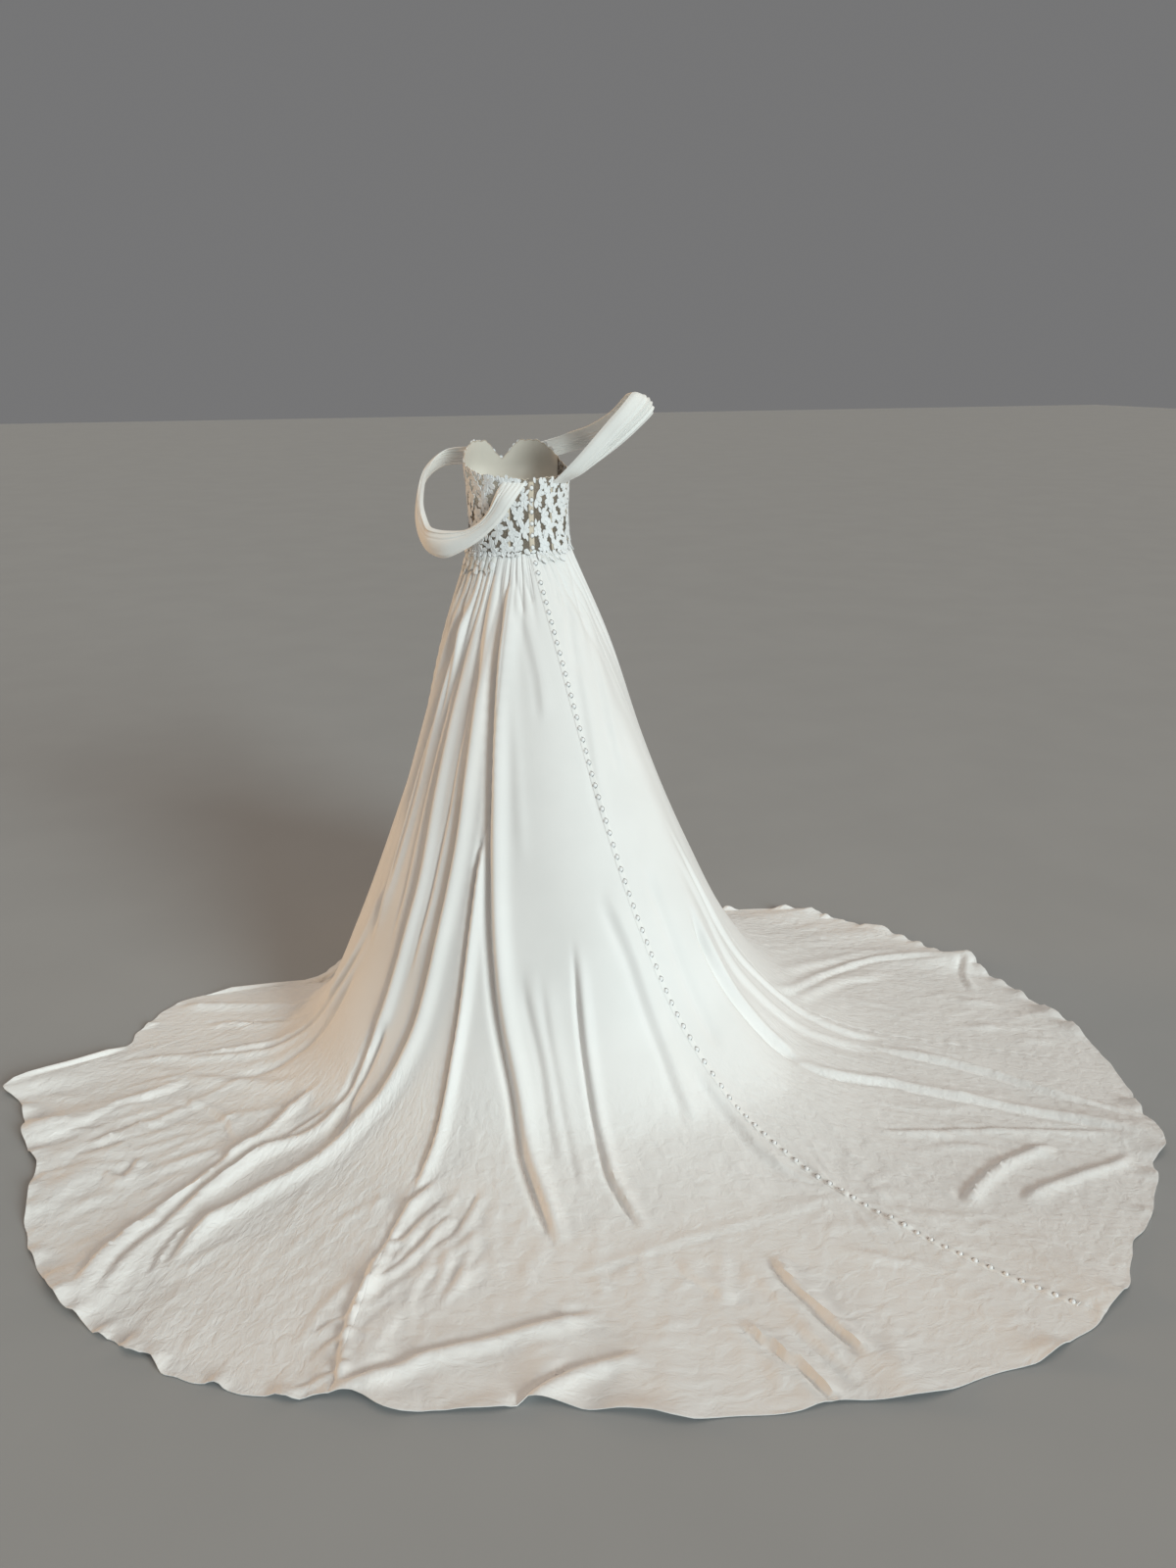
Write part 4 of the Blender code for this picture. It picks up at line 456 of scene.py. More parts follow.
# ---------------------------------------------------------------- what only the looks have
CLOTH = 0.0009                 # thickness of the crepe that shows
FOLDS_SMALL = (                # as FOLDS
    # fine folds between the large ones, from the waist down
    ("thread_ab", 0.0036, 0.0072, 0.7, (
        (0.110, 0.120), (0.150, 0.163), (0.180, 0.205), (0.204, 0.241), (0.238, 0.284),
        (0.268, 0.323), (0.303, 0.358), (0.337, 0.390), (0.375, 0.416), (0.415, 0.437))),
    ("thread_b", 0.0036, 0.0078, 0.8, (
        (0.105, 0.075), (0.145, 0.100), (0.180, 0.130), (0.220, 0.165), (0.258, 0.200),
        (0.296, 0.236), (0.340, 0.280), (0.380, 0.320), (0.430, 0.350))),
    ("thread_c", 0.0045, 0.0078, 0.8, (
        (0.112, 0.060), (0.150, 0.078), (0.185, 0.102), (0.228, 0.134), (0.268, 0.168),
        (0.310, 0.204), (0.360, 0.238), (0.410, 0.270))),
    ("thread_d", 0.0040, 0.0072, 0.8, (
        (0.138, 0.045), (0.154, 0.065), (0.171, 0.097), (0.204, 0.132), (0.240, 0.165))),
    ("thread_e", 0.0040, 0.0084, 0.6, (
        (0.140, 0.020), (0.175, 0.040), (0.220, 0.064), (0.268, 0.096), (0.318, 0.130),
        (0.370, 0.160), (0.430, 0.185))),
    ("thread_f", 0.0045, 0.0096, 0.6, (
        (0.150, 0.000), (0.190, 0.012), (0.240, 0.030), (0.300, 0.056), (0.360, 0.080),
        (0.430, 0.096), (0.510, 0.090))),
    ("gather_a", -0.0036, 0.0050, 0.0, (
        (0.044, 0.099), (0.050, 0.128), (0.052, 0.163), (0.053, 0.191))),
    ("gather_b", -0.0034, 0.0050, 0.0, ((0.030, 0.116), (0.031, 0.143), (0.028, 0.178))),
    ("gather_c", -0.0034, 0.0045, 0.0, ((0.057, 0.094), (0.060, 0.114), (0.073, 0.137))),
    ("gather_d", -0.0030, 0.0050, 0.0, ((-0.030, 0.108), (-0.036, 0.140), (-0.034, 0.180))),
    ("gather_e", -0.0036, 0.0055, 0.0, ((-0.085, 0.085), (-0.094, 0.115), (-0.092, 0.170))),
    ("band_a", 0.0026, 0.0140, 0.3, (
        (0.054, 0.143), (0.053, 0.191), (0.049, 0.231), (0.049, 0.279), (0.054, 0.320),
        (0.061, 0.357))),
    ("band_b", 0.0024, 0.0140, 0.0, (
        (0.060, 0.122), (0.084, 0.190), (0.104, 0.255), (0.122, 0.317), (0.135, 0.377),
        (0.148, 0.430), (0.160, 0.500))),
    ("band_c", 0.0032, 0.0140, 0.3, (
        (-0.063, 0.105), (-0.072, 0.131), (-0.068, 0.182), (-0.057, 0.233), (-0.048, 0.287),
        (-0.043, 0.342), (-0.034, 0.408), (-0.028, 0.457), (-0.030, 0.520))),
    ("band_d", 0.0036, 0.0140, 0.4, (
        (-0.121, 0.048), (-0.115, 0.096), (-0.113, 0.146), (-0.109, 0.211), (-0.102, 0.291),
        (-0.096, 0.360), (-0.100, 0.440))),
    ("right_thread_a", -0.0050, 0.0140, 0.0, (
        (-0.066, 0.114), (-0.067, 0.145), (-0.059, 0.183), (-0.045, 0.254), (-0.045, 0.300))),
    ("right_thread_b", -0.0060, 0.0160, 0.0, (
        (-0.100, 0.540), (-0.113, 0.584), (-0.134, 0.628), (-0.172, 0.692), (-0.200, 0.740))),
    # below, from the left to the right as the photograph shows them
    ("fan_top", 0.0066, 0.0102, 0.5, (
        (0.440, 0.262), (0.520, 0.234), (0.600, 0.205), (0.750, 0.180), (0.920, 0.138))),
    ("fan_small", 0.0054, 0.0110, 0.4, (
        (0.580, 0.130), (0.660, 0.075), (0.720, 0.050), (0.770, 0.020), (0.840, 0.012))),
    ("fan_soft", 0.0060, 0.0187, 0.3, (
        (0.660, 0.365), (0.740, 0.310), (0.800, 0.270), (0.890, 0.235))),
    ("fan_hump", -0.0048, 0.0110, -0.9, (
        (0.910, 0.320), (0.850, 0.380), (0.825, 0.430), (0.812, 0.510))),
    ("fan_knot_a", 0.0050, 0.0080, -0.7, ((0.940, 0.390), (0.965, 0.380), (0.995, 0.366))),
    ("fan_knot_b", 0.0050, 0.0088, 0.7, ((0.980, 0.368), (1.035, 0.388), (1.090, 0.408))),
    ("fan_knot_c", 0.0045, 0.0080, 0.7, ((1.010, 0.425), (1.065, 0.435), (1.115, 0.445))),
    ("fan_curl", 0.0072, 0.0110, 0.7, (
        (0.985, 0.490), (1.010, 0.530), (1.022, 0.548), (1.060, 0.515))),
    ("low_inner", 0.0072, 0.0119, 0.8, (
        (0.550, 0.485), (0.650, 0.515), (0.740, 0.552), (0.830, 0.615), (0.930, 0.700),
        (1.020, 0.790), (1.075, 0.890))),
    ("ridge_end", 0.0072, 0.0102, 0.8, (
        (0.850, 0.705), (0.915, 0.738), (0.950, 0.785), (0.985, 0.850))),
    ("seam_upper", 0.0054, 0.0076, 0.8, (
        (0.215, 0.400), (0.262, 0.460), (0.312, 0.530), (0.362, 0.608), (0.412, 0.678),
        (0.462, 0.750), (0.500, 0.800))),
    ("seam_lower", 0.0060, 0.0093, 0.8, (
        (0.590, 0.965), (0.635, 1.020), (0.668, 1.075), (0.695, 1.150), (0.712, 1.220))),
    ("puck_a", 0.0045, 0.0083, 0.9, (
        (0.440, 0.845), (0.500, 0.886), (0.545, 0.920), (0.580, 0.925))),
    ("puck_b", 0.0040, 0.0083, 0.9, (
        (0.430, 0.880), (0.500, 0.935), (0.560, 0.980), (0.615, 1.005))),
    ("puck_c", 0.0036, 0.0083, 0.9, (
        (0.370, 0.850), (0.420, 0.915), (0.460, 0.950), (0.510, 0.972))),
    ("puck_d", 0.0036, 0.0067, 0.9, ((0.630, 1.045), (0.690, 1.067), (0.740, 1.085))),
    ("puck_e", 0.0036, 0.0067, 0.9, ((0.660, 1.095), (0.710, 1.112), (0.750, 1.142))),
    ("puck_f", 0.0036, 0.0067, 0.9, ((0.680, 1.165), (0.740, 1.182), (0.785, 1.187))),
    ("between_a", 0.0042, 0.0127, 0.5, (
        (0.190, 0.580), (0.182, 0.680), (0.192, 0.760), (0.206, 0.860))),
    ("between_b", 0.0030, 0.0119, 0.5, (
        (0.155, 0.600), (0.160, 0.720), (0.176, 0.860), (0.190, 0.940))),
    ("below_a", 0.0060, 0.0180, 0.6, (
        (0.010, 0.560), (-0.045, 0.660), (-0.075, 0.750), (-0.088, 0.860))),
    ("below_b", 0.0060, 0.0180, 0.6, (
        (-0.135, 0.760), (-0.176, 0.860), (-0.188, 0.930), (-0.220, 1.020))),
    ("hem_ridge_aa", 0.0054, 0.0119, 0.0, (
        (-0.030, 1.200), (-0.028, 1.260), (-0.040, 1.330), (-0.055, 1.410), (-0.062, 1.460))),
    ("hem_ridge_c", 0.0054, 0.0102, 0.8, ((-0.028, 1.350), (-0.045, 1.410), (-0.064, 1.490))),
    ("middle_crease", 0.0030, 0.0080, 0.5, ((0.300, 1.112), (0.000, 1.104), (-0.290, 1.112))),
    ("low_crease", 0.0050, 0.0120, 0.5, ((0.095, 1.150), (0.070, 1.210), (0.040, 1.270))),
    ("right_lip", 0.0072, 0.0119, 0.3, (
        (-0.190, 0.575), (-0.255, 0.612), (-0.320, 0.648), (-0.410, 0.705))),
    ("right_crest", 0.0054, 0.0136, -0.5, (
        (-0.690, 0.700), (-0.770, 0.790), (-0.850, 0.890), (-0.910, 0.990), (-0.990, 1.110))),
    ("right_crease", -0.0048, 0.0187, -0.5, (
        (-0.160, 0.500), (-0.300, 0.560), (-0.420, 0.600), (-0.520, 0.660), (-0.640, 0.720))),
    ("curve_faint", 0.0054, 0.0187, 0.4, (
        (-0.520, 0.500), (-0.650, 0.420), (-0.750, 0.385), (-0.870, 0.400))),
    ("curve_far", 0.0048, 0.0187, 0.4, (
        (-0.560, 0.360), (-0.700, 0.290), (-0.850, 0.275), (-1.020, 0.292))),
    ("curve_notch", 0.0060, 0.0102, 0.9, ((-1.115, 0.405), (-1.060, 0.465), (-1.025, 0.545))),
    ("front_left", 0.0120, 0.0300, 0.4, ((0.080, -0.260), (0.120, -0.330), (0.160, -0.380))),
    ("front_right", 0.0120, 0.0300, 0.4, ((-0.100, -0.260), (-0.140, -0.330), (-0.170, -0.380))),
)
# Where small gathers fill the cloth between the large ones:
# direction from, direction to, degrees apart, depth (m), length (m)
SMALL_GATHERS = (
    (4, 46, 2.3, 0.0016, 0.10), (46, 104, 2.0, 0.0020, 0.16), (104, 256, 2.9, 0.0018, 0.14),
    (-104, -60, 2.5, 0.0016, 0.12), (-60, -4, 2.9, 0.0010, 0.07),
)
SMALL_GATHER_HALF = 0.85       # half width in degrees
GATHER_SEED = 7
# Patches of short creases on the floor: name, middle (x, y), half length and half width of the
# patch (m), heading in degrees from +Y towards +X, how many, height, half length, half width (m)
CREASES = (
    ("fan_high", (1.05, 0.26), 0.16, 0.10, 96, 16, 0.0036, 0.070, 0.011),
    ("fan", (0.96, 0.44), 0.20, 0.14, 78, 34, 0.0040, 0.055, 0.010),
    ("fan_low", (1.06, 0.62), 0.12, 0.12, 70, 14, 0.0030, 0.060, 0.011),
    ("left_field", (0.80, 0.84), 0.22, 0.16, 46, 26, 0.0026, 0.050, 0.011),
    ("seam_left", (0.60, 0.96), 0.22, 0.06, 42, 22, 0.0034, 0.050, 0.010),
    ("seam_right", (0.50, 1.02), 0.16, 0.07, 40, 26, 0.0034, 0.045, 0.010),
    ("middle", (0.30, 1.06), 0.16, 0.16, 20, 20, 0.0022, 0.045, 0.011),
    ("low_middle", (0.12, 1.26), 0.14, 0.22, 30, 18, 0.0024, 0.045, 0.011),
    ("hem_right", (-0.06, 1.36), 0.10, 0.14, -4, 8, 0.0034, 0.060, 0.012),
    ("star", (-0.28, 1.10), 0.20, 0.20, -15, 18, 0.0020, 0.060, 0.009),
    ("right_fan", (-0.66, 0.98), 0.20, 0.12, -48, 20, 0.0024, 0.070, 0.011),
    ("button_side", (-0.40, 1.28), 0.18, 0.08, -60, 14, 0.0030, 0.045, 0.010),
    ("far_right", (-0.88, 0.44), 0.20, 0.20, -62, 22, 0.0022, 0.060, 0.011),
    ("far_hem", (-1.04, 0.72), 0.14, 0.12, -66, 12, 0.0026, 0.050, 0.011),
    ("side_right", (-0.74, 0.10), 0.16, 0.12, -86, 12, 0.0022, 0.055, 0.011),
)
CREASE_TURN = 15               # degrees by which creases of a patch differ
CREASE_SEED = 11
STAR = {"middle": (-0.285, 1.105), "rays": 17, "reach": 0.20, "half": 0.0048, "height": 0.0030}
CRUMPLE = 0.0015               # height of the small unevenness on the floor
CRUMPLE_ACROSS = 1.0           # its size, in degrees across the threads
CRUMPLE_ALONG = 0.032          # and in metres along them
CRUMPLE_FROM = 0.16            # above the floor, where it starts
RUFFLE = 0.0130                # height of the hem's small waves
HEM_WANDER = 0.0110            # how far its edge runs in and out
RUFFLE_TURN = 2.3              # their size in degrees
RUFFLE_GAIN = 2.4              # how soon they reach their full height
RUFFLE_PLACE, WANDER_PLACE = (0.0, 3.7), (5.1, 0.0)   # where each is read in the noise
RUFFLE_WIDTH = 0.030           # how far they run in from the hem
SEAM_DIP = 0.0010              # how deep a seam lies
SEAM_DIP_HALF = 0.0030
PUCKER = 0.0012                # height of the puckers beside a seam
PUCKER_HALF = 0.016
PUCKER_LENGTH = 0.034
PUCKER_FULL = 0.5              # below the waist, where they have their full height
BUTTON_PUCKERS = 1.15          # below the waist, where they start beside the buttons
BUTTON_PUCKERS_GROW = 0.3      # and the length over which they grow
HEM_FOLD = 0.0060              # width of the turned hem
HEM_THICK = 0.0005             # what it adds
FLOOR_SOFT = 0.0030            # rounds the cloth off where it meets the floor
FLOOR_SINK = 0.8               # how much of that it is let down by
# degrees at the waist between columns
CELLS = {"skirt_back_left": 0.17, "skirt_side_left": 0.40, "skirt_front": 2.0,
         "skirt_side_right": 0.43, "skirt_back_right": 0.24}
ROW_COUNT = 220
ROW_PULL = 0.30                # how much closer rows are at the waist and the hem
EDGE_CELL = 0.12               # first cell beside an edge, as a share of the others
EDGE_GROWTH = 0.17
SEAM_ANGLE = 60                # degrees, from which an edge of a wall is sharp

# ---------------------------------------------------------------- interpolation
def slopes(x, y):
    """Slopes of a curve through (x, y) that never overshoots; x and y run along the last axis."""
    step = np.diff(x, axis=-1)
    rise = np.diff(y, axis=-1) / step
    before, after = rise[..., :-1], rise[..., 1:]
    weight_a = 2 * step[..., 1:] + step[..., :-1]
    weight_b = step[..., 1:] + 2 * step[..., :-1]
    level = before * after <= 0
    safe_before = np.where(level, 1.0, before)
    safe_after = np.where(level, 1.0, after)
    mean = (weight_a + weight_b) / (weight_a / safe_before + weight_b / safe_after)
    inner = np.where(level, 0.0, mean)
    return np.concatenate([rise[..., :1], inner, rise[..., -1:]], axis=-1)


def blend(left, right, slope_left, slope_right, step, t):
    """Cubic between two values, given its slopes there."""
    return (left * (1 + 2 * t) * (1 - t) ** 2 + slope_left * step * t * (1 - t) ** 2
            + right * t * t * (3 - 2 * t) + slope_right * step * t * t * (t - 1))


def curve(x, y, wanted):
    """Values at `wanted` of the curve through the table columns x and y."""
    x, y, wanted = np.asarray(x, float), np.asarray(y, float), np.asarray(wanted, float)
    slope = slopes(x, y)
    spot = np.clip(np.searchsorted(x, wanted) - 1, 0, len(x) - 2)
    step = x[spot + 1] - x[spot]
    t = (wanted - x[spot]) / step
    return blend(y[spot], y[spot + 1], slope[spot], slope[spot + 1], step, t)


def round_table(table, wanted):
    """The columns of a table of directions, at any directions; one array for each column."""
    rows = np.array(table, float)
    turn = np.zeros(rows.shape[1])
    turn[0] = 360.0
    rows = np.vstack([rows[-3:] - turn, rows, rows[:3] + turn])
    direction = wrapped(np.asarray(wanted, float))
    return [curve(rows[:, 0], rows[:, column], direction) for column in range(1, rows.shape[1])]


def pick(values, which):
    """The entry `which` of each curve in an array of curves."""
    return np.take_along_axis(values, which[..., None], axis=-1)[..., 0]


def wrapped(value, whole=360.0):
    """A direction, or a length round the lace, brought within half a round of the centre back."""
    return (value + whole / 2) % whole - whole / 2


def smooth_step(t):
    """Rises from 0 to 1 with no corner at either end."""
    t = np.clip(t, 0.0, 1.0)
    return t * t * (3 - 2 * t)


# ---------------------------------------------------------------- the skirt's surface
def drifted(direction, share):
    """Direction of the thread that leaves the waist at `direction`, a share of the way down."""
    turns = np.stack(round_table(DRIFT, direction), axis=-1)
    spots = np.array(DRIFT_SHARES)
    slope = slopes(spots, turns)
    spot = np.clip(np.searchsorted(spots, share) - 1, 0, len(spots) - 2)
    step = spots[spot + 1] - spots[spot]
    t = (share - spots[spot]) / step
    return direction + blend(pick(turns, spot), pick(turns, spot + 1), pick(slope, spot),
                             pick(slope, spot + 1), step, t)


def hem_wave(direction):
    """How far the hem runs out and stands up in a direction."""
    out, up = np.zeros_like(direction), np.zeros_like(direction)
    for centre, half, run, rise in HEM_WAVES:
        bump = np.exp(-((direction - centre) / half) ** 2)
        out, up = out + run * bump, up + rise * bump
    return out, up


def plain_skirt(direction, share):
    """Points of the skirt with no folds, and how far each lies below the waist seam."""
    theta = drifted(direction, share)
    out, up = hem_wave(wrapped(theta))
    radii = np.stack(round_table(SECTIONS, theta), axis=-1)
    radii[..., -1] += out
    heights = np.broadcast_to(np.array(SECTION_HEIGHTS), radii.shape)
    chords = np.hypot(np.diff(radii, axis=-1), np.diff(heights, axis=-1))
    spots = np.concatenate([np.zeros(chords.shape[:-1] + (1,)), np.cumsum(chords, axis=-1)], -1)
    wanted = share * spots[..., -1]
    spot = np.clip((spots < wanted[..., None]).sum(-1) - 1, 0, radii.shape[-1] - 2)
    step = pick(spots, spot + 1) - pick(spots, spot)
    t = (wanted - pick(spots, spot)) / step
    place = []
    for values in (radii, heights):
        slope = slopes(spots, values)
        place.append(blend(pick(values, spot), pick(values, spot + 1), pick(slope, spot),
                           pick(slope, spot + 1), step, t))
    radius, height = place
    from_hem = spots[..., -1] - wanted
    height = height + up * np.exp(-(from_hem / HEM_WAVE_LENGTH) ** 2)
    angle = np.radians(theta)
    return np.stack([radius * np.sin(angle), radius * np.cos(angle), height], -1), wanted


def thread_length(direction):
    """How long the thread of the cloth is that leaves the waist at `direction`."""
    direction = np.asarray(direction, float)
    return plain_skirt(direction[None], np.ones_like(direction)[None])[1][0]


def smooth_line(stations, steps=6):
    """A polyline through the stations, smoothed between them."""
    stations = np.array(stations, float)
    spots = np.arange(len(stations))
    fine = np.linspace(0, len(stations) - 1, steps * (len(stations) - 1) + 1)
    return np.stack([curve(spots, stations[:, axis], fine) for axis in range(stations.shape[1])],
                    -1)


def fold_height(points, fold):
    """How far a fold moves the surface at each point."""
    _, height, half, trough, stations = fold
    line = smooth_line(stations)
    lengths = np.hypot(*np.diff(line, axis=0).T)
    along = np.concatenate([[0.0], np.cumsum(lengths)])
    plan = points[..., :2]
    nearest = np.full(plan.shape[:-1], np.inf)
    side, place = np.zeros_like(nearest), np.zeros_like(nearest)
    for index, length in enumerate(lengths):
        heading = (line[index + 1] - line[index]) / length
        offset = plan - line[index]
        run = np.clip(offset @ heading, 0.0, length)
        miss = offset - run[..., None] * heading
        distance = np.hypot(miss[..., 0], miss[..., 1])
        closer = distance < nearest
        nearest = np.where(closer, distance, nearest)
        sign = np.sign(offset[..., 0] * heading[1] - offset[..., 1] * heading[0])
        side = np.where(closer, distance * sign, side)
        place = np.where(closer, (along[index] + run) / along[-1], place)
    lean = np.sign(trough)
    wide = np.where(side * lean > 0, STEEP_SIDE, SOFT_SIDE) if trough else 1.0
    ends = smooth_step(place / FOLD_END) * smooth_step((1 - place) / FOLD_END)
    ridge = np.exp(-(nearest / (half * wide)) ** 2)
    beside = abs(trough) * np.exp(-((side * lean / half - TROUGH_SET) / TROUGH_HALF) ** 2)
    return height * ends * (ridge - beside)


def gather_depth(direction, run, gathers):
    """How far gathers draw the cloth in, for threads leaving the waist at `direction`."""
    depth = np.zeros_like(run)
    for centre, deep, half, length in gathers:
        away = wrapped(direction - centre)
        start = GATHER_AT_SEAM + (1 - GATHER_AT_SEAM) * smooth_step(run / GATHER_OPENS)
        grow = 1.0 + GATHER_GROWTH * smooth_step(run / GATHER_GROWN)
        fade = smooth_step(GATHER_OVERRUN - run / length)
        depth = depth + deep * start * grow * fade * np.exp(-(away / half) ** 2)
    return depth


def unit(vectors):
    """Vectors at length 1."""
    return vectors / np.linalg.norm(vectors, axis=-1, keepdims=True)


def probe(surface, direction, share):
    """Steps of a surface across one degree, and down along its thread."""
    across = (surface(direction + PROBE_TURN, share)
              - surface(direction - PROBE_TURN, share)) / (2 * PROBE_TURN)
    down = (surface(direction, np.minimum(share + PROBE_SHARE, 1.0))
            - surface(direction, np.maximum(share - PROBE_SHARE, 0.0)))
    return across, down


def facing(surface, direction, share):
    """Outward normals of a surface that is given as a function of direction and share."""
    return unit(np.cross(*probe(surface, direction, share)))


def plain_points(direction, share):
    """Points of the skirt with no folds."""
    return plain_skirt(direction, share)[0]


# ---------------------------------------------------------------- the bodice
def bodice_point(direction, height, out=0.0):
    """Points of the bodice's inner side, moved out by `out`."""
    direction, height = np.broadcast_arrays(np.asarray(direction, float),
                                            np.asarray(height, float))
    table = np.array(BODICE)
    side, back, front = (curve(table[:, 0], table[:, i], height) for i in (1, 2, 3))
    angle = np.radians(direction)
    depth = np.where(np.cos(angle) >= 0, back, front)
    radius = 1.0 / np.sqrt((np.sin(angle) / side) ** 2 + (np.cos(angle) / depth) ** 2)
    for way in (1, -1):
        away = wrapped(direction - way * CUP["direction"])
        rise = (height - CUP["height"]) / CUP["half_height"]
        radius = radius + CUP["depth"] * np.exp(-(away / CUP["half_width"]) ** 2 - rise ** 2)
    radius = radius + out
    return np.stack([radius * np.sin(angle), radius * np.cos(angle), height], -1)


def neckline(direction):
    """Height of the top edge, with its small scallops."""
    height, = round_table(NECKLINE, direction)
    ripple = np.abs(np.sin(np.radians(direction) * FLOWER_COLUMNS))
    return height + SCALLOP * ripple


def lace_layout():
    """The lace laid flat: its flowers and the large gaps between them.

    A flower is (length from the centre back, height, radius, turn); a gap is (length, height, half
    width, half height).
    """
    flowers, gaps = [], []
    pitch = LACE_GIRTH / FLOWER_COLUMNS
    for row in range(FLOWER_ROWS):
        for column in range(FLOWER_COLUMNS):
            wobble = math.sin(2.3 * row + 1.7 * column)
            length = (column + 0.5 * (row % 2)) * pitch + FLOWER_WANDER * wobble
            height = FIRST_FLOWER + FLOWER_RISE * row
            radius = FLOWER_RADIUS * (1.0 + 0.10 * math.cos(3.1 * column + row))
            flowers.append((length, height + FLOWER_WANDER * wobble, radius,
                            0.9 * row + 1.3 * column))
            size = 0.5 - 0.12 * abs(math.sin(1.9 * column + 0.8 * row))
            gaps.append((length + pitch / 2, height + 0.12 * FLOWER_RISE * wobble,
                         GAP_WIDTH * size, GAP_HEIGHT * size))
    return flowers, np.array(gaps)


# ---------------------------------------------------------------- camera, floor and light
def new_object(name, data):
    """An object with this data, in the scene."""
    made = bpy.data.objects.new(name, data)
    bpy.context.scene.collection.objects.link(made)
    return made


def set_up_camera():
    """The photograph's camera, behind the dress and a little to its left."""
    pitch, view = math.radians(CAMERA_PITCH), math.radians(VIEW_FROM)
    focal = LENS / SENSOR * max(IMAGE_WIDTH, IMAGE_HEIGHT)
    depth = CAMERA_DISTANCE * math.cos(pitch) + (CAMERA_HEIGHT - WAIST_LEVEL) * math.sin(pitch)
    aside = (AXIS_PIXEL - IMAGE_WIDTH / 2) / focal * depth
    back = Vector((math.sin(view), math.cos(view), 0.0))
    right = Vector((-math.cos(view), math.sin(view), 0.0))
    up = Vector((0.0, 0.0, 1.0))
    forward = -back * math.cos(pitch) - up * math.sin(pitch)
    camera = bpy.data.cameras.new("camera")
    camera.lens, camera.sensor_width, camera.sensor_fit = LENS, SENSOR, "AUTO"
    holder = new_object("camera", camera)
    turn = Matrix((right, right.cross(forward), -forward)).transposed().to_4x4()
    place = back * CAMERA_DISTANCE - right * aside + up * (CAMERA_HEIGHT - WAIST_HEIGHT)
    holder.matrix_world = Matrix.Translation(place) @ turn
    bpy.context.scene.camera = holder


def add_light(name, azimuth, elevation, strength, softness, colour):
    """Light from far away; azimuth is in degrees from +Y towards +X, as directions are."""
    lamp = bpy.data.lights.new(name, "SUN")
    lamp.energy, lamp.angle, lamp.color = strength, math.radians(softness), colour
    holder = new_object(name, lamp)
    azimuth, elevation = math.radians(azimuth), math.radians(elevation)
    towards = Vector((math.sin(azimuth) * math.cos(elevation),
                      math.cos(azimuth) * math.cos(elevation), math.sin(elevation)))
    holder.rotation_euler = towards.to_track_quat("Z", "Y").to_euler()


def set_up_stage():
    """A pale floor, cool soft light from the camera's side, warm light from above and the sides."""
    set_up_camera()
    for light in LIGHTS:
        add_light(*light)
    world = bpy.data.worlds.new("world")
    world.use_nodes = True
    world.node_tree.nodes["Background"].inputs["Color"].default_value = (*WORLD_COLOUR, 1)
    world.node_tree.nodes["Background"].inputs["Strength"].default_value = 1.0
    bpy.context.scene.world = world
    bpy.context.scene.view_settings.view_transform = "Standard"

    mesh = bpy.data.meshes.new("floor")
    mesh.from_pydata([(x * FLOOR_REACH, y * FLOOR_REACH, FLOOR) for x, y in
                      ((-1, -1), (1, -1), (1, 1), (-1, 1))], [], [(0, 1, 2, 3)])
    mesh.materials.append(plain_floor())
    floor = new_object("floor", mesh)


# ---------------------------------------------------------------- materials
def new_material(name, roughness, specular=0.3, sheen=0.0):
    """A material with its node tree and its shader."""
    material = bpy.data.materials.new(name)
    material.use_nodes = True
    shader = material.node_tree.nodes["Principled BSDF"]
    shader.inputs["Roughness"].default_value = roughness
    shader.inputs["Specular IOR Level"].default_value = specular
    shader.inputs["Sheen Weight"].default_value = sheen
    shader.inputs["Sheen Roughness"].default_value = 0.45
    return material, material.node_tree, shader


def add_node(tree, kind, **values):
    """A node with its inputs set by name and its own settings in lower case."""
    node = tree.nodes.new(kind)
    for key, value in values.items():
        if key in node.inputs:
            node.inputs[key].default_value = value
        else:
            setattr(node, key, value)
    return node


def mottled(tree, shader, dark, light, scale, source):
    """A base colour that drifts a little between two tones."""
    spots = add_node(tree, "ShaderNodeTexNoise", Scale=scale, Detail=3.0)
    ramp = tree.nodes.new("ShaderNodeValToRGB")
    ramp.color_ramp.elements[0].position, ramp.color_ramp.elements[1].position = 0.35, 0.65
    ramp.color_ramp.elements[0].color = (*dark, 1)
    ramp.color_ramp.elements[1].color = (*light, 1)
    tree.links.new(source, spots.inputs["Vector"])
    tree.links.new(spots.outputs["Fac"], ramp.inputs["Fac"])
    tree.links.new(ramp.outputs["Color"], shader.inputs["Base Color"])


def add_bump(tree, shader, height, strength, distance, before=None):
    """Bump from a height, over the bump `before` if there is one; gives its normal."""
    bump = add_node(tree, "ShaderNodeBump", Strength=strength, Distance=distance)
    tree.links.new(height, bump.inputs["Height"])
    if before is not None:
        tree.links.new(before, bump.inputs["Normal"])
    tree.links.new(bump.outputs["Normal"], shader.inputs["Normal"])
    return bump.outputs["Normal"]


def plain_floor():
    """The matt grey floor."""
    material, tree, shader = new_material("pale_floor", 0.85, specular=0.1)
    place = tree.nodes.new("ShaderNodeTexCoord").outputs["Object"]
    mottled(tree, shader, (0.345, 0.352, 0.356), (0.355, 0.362, 0.366), 3.0, place)
    return material


